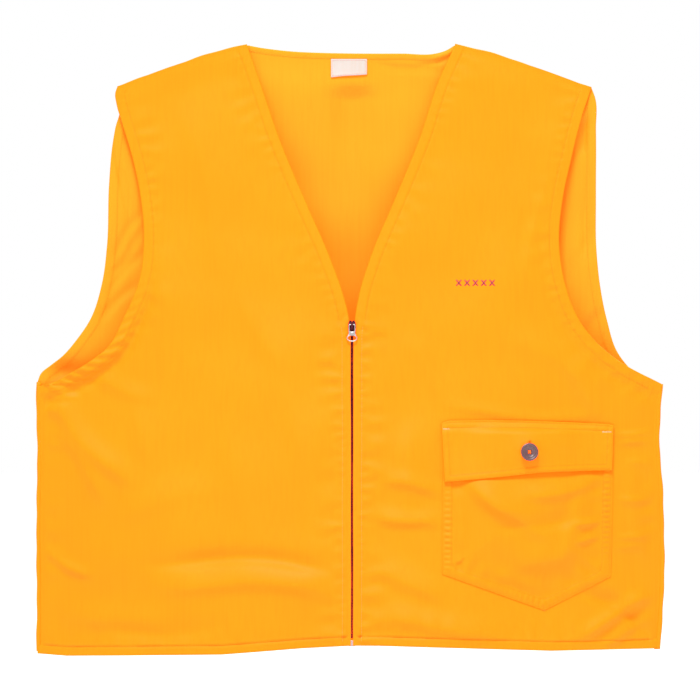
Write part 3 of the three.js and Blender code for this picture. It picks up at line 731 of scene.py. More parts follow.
def sewn_ripple(near, bands, seed):
    """Puckers along the sewn edges of a front, and the cloth that stands or sags beside each band."""
    ripple = np.zeros_like(near["neck"][0])
    for name, (band, height) in bands.items():
        d, place = near[name]
        ripple += pucker(d, place, band - 1.0, height=height, pitch=8.6, seed=seed + band)
        ripple += pucker(d, place, band + 3.5, 5.0, height * 1.5, 13.5, seed + 2 * band)
        ripple += pucker(d, place, band + 12, 11.0, height * 1.4, 24.0, seed + 3 * band)
    ripple += pucker(near["side"][0], near["side"][1], 14, 8.0, 0.8, 24.0, seed)
    for name, step in (("neck", 0.6), ("arm", 0.5)):
        band, _ = bands[name]
        d = near[name][0]
        ripple += step * smoothstep(band - 0.8, band + 0.2, d) * np.exp(-np.maximum(0, d - band) / 7.0)
    hem_d, hem_place = near["hem"]
    sag = 0.95 + 0.3 * np.sin(hem_place / 19) * np.sin(hem_place / 7.3 + seed)
    return ripple + sag * smoothstep(9.3, 10.2, hem_d) * np.exp(-np.maximum(0, hem_d - 10.2) / 8.0)


def underarm_ripple(side, near, x, z):
    """Slanting tucks where the armhole's foot is drawn up, with sunk cloth beside them."""
    low_arm = smoothstep(-215, -300, z)
    arm_d, arm_place = near["arm"]
    tight, pitch = (1.0, 2.1) if side == "right" else (0.3, 2.9)
    tucks = np.sin((arm_place + 1.1 * arm_d) / pitch + np.sin(arm_place / 17))
    ripple = 0.8 * tight * low_arm * tucks * smoothstep(14, 6, arm_d)
    ripple -= 3.2 * tight * low_arm * np.exp(-(((arm_d - 17) / 5.0) ** 2))
    corner = np.exp(-(((np.abs(x) - 306) / 16) ** 2) - ((z + 345) / 12) ** 2)
    ripple += 1.3 * tight * corner * np.sin(1.15 * z + 0.25 * x) * np.sin(0.33 * x - 0.2 * z)
    # The armhole gapes at its foot.
    gape = smoothstep(26, 0, arm_d) * smoothstep(-265, -315, z) * smoothstep(-338, -322, z)
    return ripple + 3.0 * tight * gape


def front_faces(side):
    """(outer, inner) faces of a front, and its outlines."""
    sizes = bpy.context.scene.vest_sizes
    x, z, lines = front_grid(side)
    near = {name: nearest(line, x, z) for name, line in lines.items()}
    seed = 1.0 if side == "left" else 2.3
    # Each band's width and how high its stitching puckers.
    bands = {
        "neck": (sizes.neck_band / MM, 0.34), "arm": (sizes.arm_band / MM, 0.42),
        "hem": (sizes.hem_band / MM, 0.40), "zip": (sizes.facing_band / MM, 0.8),
    }
    thick = front_thickness(near, bands, sizes)
    seam = np.minimum(near["side"][0], near["shoulder"][0])
    free = smoothstep(3, 30, seam) * smoothstep(4, 34, near["zip"][0]) * smoothstep(2, 26, near["neck"][0])
    free *= 0.35 + 0.65 * smoothstep(2, 26, near["arm"][0])
    wave = (2.0 * folds(x, z, SOFT_FOLDS) + 2.2 * undulation(x, z, seed)) * free
    ripple = sewn_ripple(near, bands, seed) + underarm_ripple(side, near, x, z)
    ripple *= smoothstep(4.5, 12.0, seam) * smoothstep(1.0, 5.0, near["zip"][0])
    # The tape lies close behind the cloth beside the zip.
    off = np.abs(x)
    slack = 0.3 + 40 * smoothstep(15.0, 24.0, off) + 40 * smoothstep(-285, -260, z)
    ripple = np.maximum(wave + ripple, -slack)
    flat = front_depth(x, z)
    base = np.maximum(flat + ripple, 0.55 * flat)
    # Beside the zip the cloth thins to a lip that passes behind the slider's front plate.
    lip = smoothstep(6.6, 4.3, off) * smoothstep(NECK_BOTTOM + 4, NECK_BOTTOM - 1, z)
    base = base * (1 - lip) + flat * lip
    outer = np.stack([x, -(base + thick * (1 - lip) + 0.80 * lip), z], axis=-1)
    inner = np.stack([x, -(base + 0.36 * lip), z], axis=-1)
    return outer, inner, lines


def front_bend(piece):
    """Bakes the piece's placement into its mesh."""
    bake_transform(piece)


def declare_sheet(grid):
    """Works out a grid's span in metres and does nothing more with it."""
    span = (grid.reshape(-1, 3).max(0) - grid.reshape(-1, 3).min(0)) * MM


# ---- Stitching ----
def stitch_rows(name, rows, material, length=None, gap=None, radius=0.2):
    """One mesh of short raised stitches. Each row is (points, normals), close together along its line."""
    sizes = bpy.context.scene.vest_sizes
    length = length or sizes.stitch / MM
    gap = gap or sizes.stitch_gap / MM
    points, faces = [], []
    for line, normals in rows:
        along = np.concatenate([[0], np.cumsum(np.linalg.norm(np.diff(line, axis=0), axis=1))])
        if along[-1] < length:
            continue
        count = max(1, int(along[-1] / gap))
        middles = (np.arange(count) + 0.5) * along[-1] / count
        for middle in middles:
            at = [np.interp(middle + k * length / 2, along, line[:, c]) for k in (-1, 0, 1) for c in range(3)]
            a, m, b = np.array(at).reshape(3, 3)
            normal = np.array([np.interp(middle, along, normals[:, c]) for c in range(3)])
            normal /= max(np.linalg.norm(normal), 1e-9)
            run = (b - a) / max(np.linalg.norm(b - a), 1e-9)
            side = np.cross(run, normal)
            rings = [(a - 0.12 * normal, 0.35), (0.6 * a + 0.4 * m + 0.08 * normal, 0.95),
                     (0.6 * b + 0.4 * m + 0.08 * normal, 0.95), (b - 0.12 * normal, 0.35)]
            start = len(points)
            for centre, size in rings:
                for k in range(5):
                    angle = 2 * math.pi * k / 5
                    spoke = math.cos(angle) * side + math.sin(angle) * normal
                    points.append(centre + radius * size * spoke)
            for r in range(3):
                p = start + 5 * r
                faces += [(p + k, p + (k + 1) % 5, p + 5 + (k + 1) % 5, p + 5 + k) for k in range(5)]
            faces += [tuple(start + k for k in range(5))[::-1], tuple(start + 15 + k for k in range(5))]
    return new_object(name, np.array(points), faces, [material])


def seat(line, surface, forward=-1):
    """A line of (x, z) points laid on a face, with the face's normals."""
    found = [surface.at(x, z, forward) for x, z in line]
    return np.array([p for p, _ in found]), np.array([n for _, n in found])


def trimmed(line, start, end):
    """A line without its first and last stretch."""
    along = along_line(line)
    at = np.arange(start, along[-1] - end, 1.5)
    return np.stack([np.interp(at, along, line[:, k]) for k in (0, 1)], axis=1)


# ---- Zip frame ----
ZIP = Matrix.Translation((0, -SEAM_GAP * MM, 0)) @ Matrix.Rotation(-ZIP_LEAN, 4, "X")


def along_zip(z):
    return z / math.cos(ZIP_LEAN)


def to_zip(points):
    """Points of the zip's own frame, in millimetres, placed in the vest's frame."""
    turn = np.array(ZIP.to_3x3())
    return np.asarray(points, float) @ turn.T + np.array(ZIP.translation) / MM


def to_zip_direction(directions):
    """Directions of the zip's own frame, turned into the vest's frame."""
    return to_zip(directions) - to_zip(np.zeros(np.shape(directions)))


def faces_between(a, b, size):
    """Faces between two closed rings of points that start at a and b."""
    return [(a + j, a + (j + 1) % size, b + (j + 1) % size, b + j) for j in range(size)]


def cell_middles(grid):
    """The mean of every cell's four corners."""
    return (grid[:-1, :-1] + grid[:-1, 1:] + grid[1:, :-1] + grid[1:, 1:]) / 4


# A soft twist in the turned neck edge of the back.
NECK_TWIST = [(104, -5, 80, -12, 2.4, -1.6), (99, -14, 66, -20, 3.0, 1.3), (98, -30, 24, -17, 4.0, 1.2)]


# ---- Operators ----
class VEST_OT_back(bpy.types.Operator):
    """Makes the back, with its neck edge, armhole edges and hem"""

    bl_idname = "vest.back"
    bl_label = "Back"

    def execute(self, context):
        sizes = context.scene.vest_sizes
        left = np.concatenate([smooth_line(BACK_ARM_EDGE["right"]), smooth_line(SIDE_EDGE["right"])[1:]])
        right = np.concatenate([smooth_line(BACK_ARM_EDGE["left"]), smooth_line(SIDE_EDGE["left"])[1:]])
        left = mirror(left, -1)
        neck = smooth_line(BACK_NECK)
        top = np.concatenate([[left[0]], neck, [right[0]]])
        rows = fine_ends(BODY_LENGTH, 190) / BODY_LENGTH
        a, b = resample(left, rows), resample(right, rows)
        x, z = [], []
        for v, p, q in zip(rows, a, b):
            length = q[0] - p[0]
            s = fine_ends(length, 150) / length
            level = p[1] + s * (q[1] - p[1])
            across = p[0] + s * (q[0] - p[0])
            first = a[0][0] + s * (b[0][0] - a[0][0])
            lift = np.interp(first, top[:, 0], top[:, 1]) - (a[0][1] + s * (b[0][1] - a[0][1]))
            x.append(across)
            z.append(level + lift * (1 - v) ** 2.2)
        x, z = np.array(x), np.array(z)
        z += (hem_z(x[-1]) - z[-1]) * smoothstep(0.5, 1.0, rows)[:, None]
        hem = np.stack([x[-1], z[-1]], axis=1)
        lines = {
            "neck": neck, "hem": hem,
            "arm_left": smooth_line(BACK_ARM_EDGE["left"]),
            "arm_right": mirror(smooth_line(BACK_ARM_EDGE["right"]), -1),
        }
        bands = {"neck": 6.6, "hem": sizes.hem_band / MM, "arm_left": 10.0, "arm_right": 10.0}
        thick = np.full_like(x, sizes.cloth / MM)
        ripple = np.zeros_like(x)
        near = {name: nearest(line, x, z) for name, line in lines.items()}
        for name, band in bands.items():
            d, place = near[name]
            thick = np.maximum(thick, turned_edge(d, band, sizes))
            ripple += pucker(d, place, band - 1, height=0.22, seed=band)
        for name, band in bands.items():
            d = near[name][0]
            thick = np.minimum(thick, 0.3 + 2.0 * round_over(d))
            thick -= groove(d, band - 1, 0.9 if name == "neck" else 0.6)
        seams = mirror(smooth_line(SIDE_EDGE["right"]), -1), smooth_line(SIDE_EDGE["left"])
        seam = np.minimum(nearest(seams[0], x, z)[0], nearest(seams[1], x, z)[0])
        seam = np.minimum(seam, nearest(top, x, z)[0])
        dimple = 7.5 * np.exp(-(((x - 1) / 22) ** 2)) * smoothstep(-36, -55, z) * smoothstep(-210, -55, z)
        dimple += 6.0 * np.exp(-(((x + 288) / 17) ** 2) - ((z + 326) / 11) ** 2)
        drape = folds(x, z, BACK_FOLDS)
        wave = (2.0 * undulation(x, z, 3.1) + 1.3 * drape) * smoothstep(3, 40, seam) + dimple
        twist = folds(x, z, NECK_TWIST)
        level = wave + ripple * smoothstep(4.5, 12, seam) + twist * smoothstep(0.5, 4, near["neck"][0])
        # The edges are turned to the inside, so most of their thickness shows on the face that looks forward.
        one_layer = sizes.cloth / MM
        turned = np.maximum(thick - one_layer, 0)
        outer = np.stack([x, level + np.minimum(thick, one_layer) + 0.5 * turned, z], axis=-1)
        inner = np.stack([x, level - 0.8 * turned, z], axis=-1)
        back = shell("back", outer, inner, cloth_pair())
        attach(back, "vest_body")
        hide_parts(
            "back_panel", "back_neck_band", "back_hem",
            "left_back_armhole_band", "right_back_armhole_band",
        )
        declare_sheet(inner)
        front, behind = Surface(inner), Surface(outer)
        MADE["back face"] = front
        thread_rows = []
        stitched = [
            (offset_line(neck, -5.6), 4), (mirror(offset_line(mirror(lines["arm_right"], -1), -9.0), -1), 7),
            (offset_line(lines["arm_left"], -9.0), 7), (hem + [0, 9.0], 5),
        ]
        for line, cut in stitched:
            line = trimmed(line, cut, cut)
            thread_rows.append(seat(line, front, -1))
            thread_rows.append(seat(line, behind, 1))
        sewn = stitch_rows("back_stitching", thread_rows, finish_named("orange thread"))
        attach(sewn, "vest_body")
        return {"FINISHED"}


class VEST_OT_fronts(bpy.types.Operator):
    """Makes both fronts, each one sheet from the neck and zip to the armhole and side seam"""

    bl_idname = "vest.fronts"
    bl_label = "Fronts"

    def execute(self, context):
        sizes = context.scene.vest_sizes
        for side, sign in SIDES.items():
            outer, inner, lines = front_faces(side)
            piece = shell(f"{side}_front", outer, inner, cloth_pair())
            nodes = ("front_panel", "front_hem", "front_armhole_band", "lapel", "lapel_hem", "neck_band",
                     "zip_facing")
            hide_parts(*[f"{side}_{n}" for n in nodes])
            declare_sheet(outer)
            front_bend(piece)
            face = Surface(outer)
            MADE[f"{side} face"] = face
            left_of = -sign  # the cloth lies on this side of a line that runs downward
            rows = []
            neck = offset_line(lines["neck"], -left_of * (sizes.neck_band / MM - 1))
            zip_edge = offset_line(lines["zip"], -left_of * (sizes.facing_band / MM - 0.6))
            hem = lines["hem"] + [0, sizes.hem_band / MM - 1]
            for line, start, end in ((neck, 4, 2), (zip_edge, 4, 3), (hem, 5, 5)):
                rows.append(seat(trimmed(line, start, end), face))
            beside_zip = stitch_rows(f"{side}_zip_stitching", [rows.pop(1)], finish_named("zip thread"))
            front_bend(beside_zip)
            arm = offset_line(lines["arm"], left_of * (sizes.arm_band / MM - 1))
            rows.append(seat(trimmed(arm, 6, 9), face))
            sewn = stitch_rows(f"{side}_front_stitching", rows, finish_named("orange thread"))
            front_bend(sewn)
        return {"FINISHED"}


class VEST_OT_seams(bpy.types.Operator):
    """Makes the felled shoulder and side seams that close the fronts to the back"""

    bl_idname = "vest.seams"
    bl_label = "Seams"

    def execute(self, context):
        for side, sign in SIDES.items():
            between = [(150, -11.5), (182, -23), (218, -36)]
            shoulder = np.array([NECK_EDGE[side][0], *between, FRONT_ARM_EDGE[side][0]])
            self.roll(f"{side}_shoulder_seam_roll", smooth_line(shoulder), sign, 3.5, (0.0, -1.0))
            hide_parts(f"{side}_shoulder_seam")
            self.roll(f"{side}_side_seam_roll", smooth_line(SIDE_EDGE[side]), sign, 4.0, (-1.0, 0.0))
            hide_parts(f"{side}_side_seam")
        return {"FINISHED"}

    def roll(self, name, line, sign, depth, inward):
        """The turned edge where a front meets the back: a soft fold that ends flush inside both layers."""
        n = len(line)
        place = along_line(line)
        x, z = line[:, 0] * sign, line[:, 1]
        wobble = 0.25 * np.sin(place / 5.4 + sign) + 0.2 * np.sin(place / 13.1)
        into = np.array([inward[0] * sign, 0, inward[1]])
        front = front_depth(line[:, 0] + depth * inward[0], z + depth * inward[1]) + 0.08
        turns = np.radians(np.linspace(-90, 90, 9))
        rings = []
        for k in range(n):
            middle, half = (0.32 - front[k]) / 2, (0.32 + front[k]) / 2
            bulge = min(2.4, 0.9 + 0.45 * half) + wobble[k]
            arc = [(0.3 - bulge * math.cos(t), half * math.sin(t)) for t in turns]
            ring = [(depth, -half), *arc, (depth, half)]
            rings += [np.array([x[k], middle + y, z[k]]) + into * u for u, y in ring]
        size = len(turns) + 2
        faces = []
        for k in range(n - 1):
            faces += faces_between(k * size, (k + 1) * size, size)
        faces += [tuple(range(size)), tuple((n - 1) * size + j for j in range(size))]
        made = outward(new_object(name, rings, faces, [finish_named("blaze cloth")]))
        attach(made, "vest_body")
        return made


class VEST_OT_zip(bpy.types.Operator):
    """Makes the zip's tapes, rows of teeth, stops, pin and retainer box"""

    bl_idname = "vest.zip"
    bl_label = "Zip"

    def execute(self, context):
        top, foot = along_zip(-276.5), along_zip(HEM_LINE) + 2
        box_top = foot + 10.5
        slider_top = slider_top_height()
        teeth_top = slider_top - 3.7
        for side, sign in SIDES.items():
            body = f"{side}_front_edge"
            tape = self.tape(side, sign, top, box_top)
            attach(tape, body)
            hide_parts(f"{side}_zip_tape")
            teeth = self.teeth(side, sign, teeth_top, box_top + 0.4)
            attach(teeth, body)
            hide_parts(f"{side}_zip_teeth")
            near, far = sorted((0.6 * sign, 2.8 * sign))
            outline = rounded(near, far, slider_top + 0.3, slider_top + 0.3 + 0.9, 0.3)
            stop = plate(f"{side}_stop", outline, 1.9, 2.3, 0.3, finish_named("zip teeth"), matrix=ZIP)
            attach(stop, body)
            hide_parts(f"{side}_top_stop")
        silver = finish_named("silver plate")
        box_front = rounded(-3.1, 3.4, foot + 4.7, box_top, 0.9)
        box_side = rounded(-0.4, 3.4, foot + 4.7, box_top, 0.9)
        box = join("zip_box", [
            plate("zip_box_front", box_front, 0.48, 0.56, 0.25, silver, matrix=ZIP),
            plate("zip_box_side", box_side, 2.0, 1.75, 0.3, silver, matrix=ZIP),
        ])
        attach(box, "left_front_edge")
        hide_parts("retainer_box")
        outline = rounded(-2.2, -0.8, foot + 5.0, box_top, 0.5)
        pin = plate("zip_pin", outline, 1.8, 1.2, 0.35, silver, matrix=ZIP)
        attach(pin, "right_front_edge")
        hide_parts("insertion_pin")
        return {"FINISHED"}

    def tape(self, side, sign, top, foot):
        """Woven tape with a corded inner edge."""
        z = np.linspace(top, foot, 120)
        u = np.array([1.06, 1.3, 1.9, 2.4, 2.9, 3.4, 3.9, 5.0, 7.0, 9.0, 11.0, 13.0, 14.8, 15.0])
        cord = np.where(np.abs(u - 3.0) < 0.55, 0.28, 0.0)
        uu, zz = np.meshgrid(u, z)
        wave = 0.03 * np.sin(zz / 2.3 + uu)
        front = np.stack([sign * uu, 0.42 + wave, zz], axis=-1)
        back = np.stack([sign * uu, 0.85 + wave + cord[None, :], zz], axis=-1)
        return shell(f"{side}_tape", to_zip(front), to_zip(back), [finish_named("zip tape")])

    def teeth(self, side, sign, top, foot):
        """A row of moulded teeth: each has a waisted neck and a broad head that locks with the other row."""
        pitch, shift = 3.2, 0.0 if sign > 0 else 1.6
        count = int((top - shift - foot) / pitch)
        points, faces = [], []
        # Half of a tooth's outline: distance from the zip's middle, and half height.
        profile = [
            (2.9, 1.55), (1.45, 1.55), (1.2, 1.35), (1.02, 0.9), (0.75, 0.62), (0.25, 0.58), (-0.3, 0.74),
            (-0.8, 0.72), (-0.96, 0.45),
        ]
        for k in range(count):
            middle = top - shift - 0.8 - k * pitch
            ring = [(u, middle + h) for u, h in profile] + [(u, middle - h) for u, h in profile[::-1]]
            start = len(points)
            for y, grow in ((-0.22, 0.82), (0.05, 1.0), (1.35, 1.0), (1.75, 0.8)):
                for u, w in ring:
                    points.append((sign * (1.0 + (u - 1.0) * grow), y, middle + (w - middle) * grow))
            size = len(ring)
            for r in range(3):
                faces += faces_between(start + r * size, start + (r + 1) * size, size)
            faces.append(tuple(start + j for j in range(size)))
            faces.append(tuple(start + 3 * size + j for j in range(size)))
        made = outward(new_object(f"{side}_teeth", to_zip(points), faces, [finish_named("zip teeth")]))
        sharpen(made, 50)
        return made


def slider_top_height():
    """Top of the slider in the zip's own frame, from the frame's slider node."""
    low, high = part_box("zip_slider")
    local = ZIP.inverted() @ Vector((0, (low.y + high.y) / 2, high.z))
    return local.z / MM - 0.45


class VEST_OT_slider(bpy.types.Operator):
    """Makes the slider, its crown and the pull with its slotted frame, crossbar and ring"""

    bl_idname = "vest.slider"
    bl_label = "Slider and pull"

    def execute(self, context):
        low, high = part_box("slider_crown")
        top = (ZIP.inverted() @ Vector((0, (low.y + high.y) / 2, high.z))).z / MM - 2.1 + 3.6 - 0.2
        enamel, silver = finish_named("slider enamel"), finish_named("silver plate")
        shield = [
            (-3.4, top - 11.5), (3.4, top - 11.5), (3.75, top - 8), (3.9, top - 3), (3.3, top - 0.6),
            (2.4, top), (-2.4, top), (-3.3, top - 0.6), (-3.9, top - 3), (-3.75, top - 8),
        ]
        bridge = rounded(-0.8, 0.8, top - 3.2, top - 0.6, 0.4)
        slider = join("slider_body", [
            plate("slider_front", shield, -0.9, 1.2, 0.35, enamel, matrix=ZIP),
            plate("slider_back", shield, 3.5, 1.2, 0.35, enamel, matrix=ZIP),
            plate("slider_bridge", bridge, 2.5, 3.6, 0.1, enamel, matrix=ZIP),
        ])
        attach(slider, "slider")
        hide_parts("zip_slider")
        pivot_z, pivot_y = top - 3.6, -3.3
        crown = self.crown(pivot_y, pivot_z, enamel)
        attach(crown, "slider")
        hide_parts("slider_crown")
        pull = self.pull(pivot_y, pivot_z, silver)
        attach(pull, "pull")
        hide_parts("zip_pull")
        return {"FINISHED"}

    def crown(self, y, z, material):
        """An arch over the pull's bar, with rounded shoulders."""
        path = [(y + 1.15, z + 1.75), (y - 0.4, z + 1.75), (y - 1.3, z + 1.2), (y - 1.55, z + 0.2),
                (y - 1.55, z - 2.8), (y - 1.3, z - 3.9), (y - 0.3, z - 4.5), (y + 1.15, z - 4.6)]
        line = smooth_line(path, 0.5)
        d = np.gradient(line, axis=0)
        d /= np.linalg.norm(d, axis=1)[:, None]
        centres = to_zip(np.stack([np.zeros(len(line)), line[:, 0], line[:, 1]], axis=1))
        across = to_zip_direction(np.tile([1.0, 0, 0], (len(line), 1)))
        normal = to_zip_direction(np.stack([np.zeros(len(line)), d[:, 1], -d[:, 0]], axis=1))
        return outward(sweep("slider_arch", centres, circle(12, 1.1, 0.42), across, normal, [material]))

    def pull(self, y, z, material):
        """A slotted frame that hangs from its bar, with a stamped crossbar and a wire ring."""
        half = [
            (0, 0.6), (2.6, 0.6), (3.2, 0.2), (3.35, -0.6), (3.45, -5.6), (3.3, -7.2), (3.1, -8.4),
            (3.5, -9.4), (4.3, -10.6), (4.0, -11.2), (3.2, -10.7), (2.2, -10.9), (0, -11.0),
        ]
        outline = [(a, z + b) for a, b in half] + [(-a, z + b) for a, b in half[-2:0:-1]]
        window = [(a, z + b) for a, b in rounded(-2.35, 2.35, -6.9, -0.5, 0.8)]
        stamped = [(a, z + b) for a, b in rounded(-1.7, 1.7, -9.9, -7.8, 0.8)]
        flat = plate("pull_frame", outline, y + 0.6, 1.2, 0.3, material, holes=[window], matrix=ZIP)
        ridge = plate("pull_ridge", stamped, y - 0.45, 0.5, 0.2, material, matrix=ZIP)
        turns = np.linspace(0, 2 * math.pi, 41)[:-1]
        middle = z - 13.4
        ring = np.stack([4.75 * np.cos(turns), np.full(40, y), middle + 3.1 * np.sin(turns)], axis=1)
        out = np.stack([np.cos(turns), np.zeros(40), np.sin(turns)], axis=1)
        front = np.tile([0.0, -1.0, 0.0], (40, 1))
        axes = to_zip_direction(out), to_zip_direction(front)
        wire = outward(sweep("pull_ring", to_zip(ring), circle(10, 0.55), *axes, [material], closed=True))
        return join("pull_tab", [flat, ridge, wire])


# ---- Pocket ----
POCKET_IN, POCKET_OUT = 90.0, 261.0
POCKET_MOUTH, POCKET_CORNER = -391.0, -530.0
POCKET_TIP = (191.5, -564.5)
HINGE_Z = -376.0
BUTTON_Z = -407.0


def pocket_border():
    """The pocket's sewn edge: down the inner side, round the point and up the outer side."""
    return np.array([(POCKET_IN, POCKET_MOUTH), (POCKET_IN - 0.5, POCKET_CORNER + 2), POCKET_TIP,
                     (POCKET_OUT - 2.5, POCKET_CORNER - 1), (POCKET_OUT, POCKET_MOUTH)])


def pocket_loft(x, z):
    """How far the pocket stands off the front: none where it is sewn, most at the middle of its mouth."""
    loft = bpy.context.scene.vest_sizes.pocket_loft / MM
    d = nearest(resample(pocket_border(), np.linspace(0, 1, 120)), x, z)[0]
    across = 1 - np.clip(np.abs(x - 176) / 86, 0, 1) ** 2
    return loft * smoothstep(7, 60, d) * across + 0.35 * smoothstep(1, 8, d)


class VEST_OT_pocket(bpy.types.Operator):
    """Makes the patch pocket, its hemmed mouth and its double topstitching"""

    bl_idname = "vest.pocket"
    bl_label = "Pocket"

    def execute(self, context):
        sizes = context.scene.vest_sizes
        face = MADE["left face"]
        u = fine_ends(170.0, 96) / 170.0
        v = fine_ends(160.0, 96) / 160.0
        border = pocket_border()
        foot_x = np.interp(u, [0, 0.6, 1], border[[1, 2, 3], 0])
        foot_z = np.interp(u, [0, 0.6, 1], border[[1, 2, 3], 1])
        top_x = POCKET_IN + (POCKET_OUT - POCKET_IN) * u
        x = top_x[None, :] + (foot_x - top_x)[None, :] * v[:, None] ** 1.5
        z = POCKET_MOUTH + (foot_z[None, :] - POCKET_MOUTH) * v[:, None]
        edge = resample(border, np.linspace(0, 1, 220))
        d, place = nearest(edge, x, z)
        thick = turned_edge(d, 10.0, sizes)
        mouth = POCKET_MOUTH - z
        hemmed = 0.5 + 0.9 * smoothstep(15.5, 13.5, mouth)
        thick = np.maximum(thick, hemmed) * (0.5 + 0.5 * smoothstep(0, 0.8, mouth))
        thick = thick * (0.68 + 0.32 * smoothstep(0.5, 6, d)) - groove(d, 1.9, 0.2) - groove(d, 9.4)
        puckers = pucker(d, place, 5.6, 3.4, 0.85, 5.6, 1.2) + pucker(d, place, 16, 8.0, 1.0, 19.0, 0.4)
        creases = 2.6 * folds(x, z, POCKET_FOLDS) * smoothstep(7, 24, d)
        lift = 0.15 + pocket_loft(x, z) + creases + puckers * smoothstep(0.5, 3, d)
        outer, inner = laid(x, z, face.level(x, z), lift, thick)
        piece = shell("patch_pocket", outer, inner, cloth_pair())
        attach(piece, "vest_body")
        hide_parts("pocket_panel", "pocket_mouth_hem")
        declare_sheet(outer)
        surface = Surface(outer)
        MADE["pocket face"] = surface
        rows = []
        for off in (1.9, 9.4):
            rows.append(seat(trimmed(self.inside(off), 2, 2), surface))
        sewn = stitch_rows("pocket_stitching", rows, finish_named("orange thread"))
        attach(sewn, "vest_body")
        return {"FINISHED"}

    def inside(self, off):
        """The pocket's border moved inward, its corners rounded where it is far in."""
        b = pocket_border()
        ring = [b[0] + [off, 0]]
        for k in (1, 2, 3):
            one, two = b[k] - b[k - 1], b[k + 1] - b[k]
            one, two = one / np.linalg.norm(one), two / np.linalg.norm(two)
            n1, n2 = np.array([-one[1], one[0]]), np.array([-two[1], two[0]])
            inward = n1 + n2
            corner = b[k] + inward / (1 + n1 @ n2) * off
            bend = 1.5 if off < 5 else 7.0
            for t in np.linspace(0, 1, 7):
                p, q = corner - one * bend, corner + two * bend
                ring.append((1 - t) ** 2 * p + 2 * t * (1 - t) * corner + t * t * q)
        ring.append(b[4] + [-off, 0])
        return np.array(ring)


POCKET_FOLDS = [
    (116, -436, 192, -492, 12, 2.6), (146, -482, 226, -472, 10, -1.8), (172, -452, 246, -438, 9, 1.7),
    (158, -524, 216, -506, 13, 1.4), (222, -480, 252, -475, 4, 1.3), (224, -496, 250, -492, 4, 1.1),
    (100, -440, 108, -508, 6, 0.9), (130, -526, 188, -552, 9, 1.2), (236, -444, 206, -524, 11, 1.2),
]


def flap_lift(x, z):
    """How far the flap's inner face is from the front: sewn down at its top, over the pocket below."""
    over = smoothstep(0, 13, HINGE_Z - z)
    return 0.3 + (pocket_loft(x, np.minimum(z, POCKET_MOUTH - 12)) + 2.1) * over


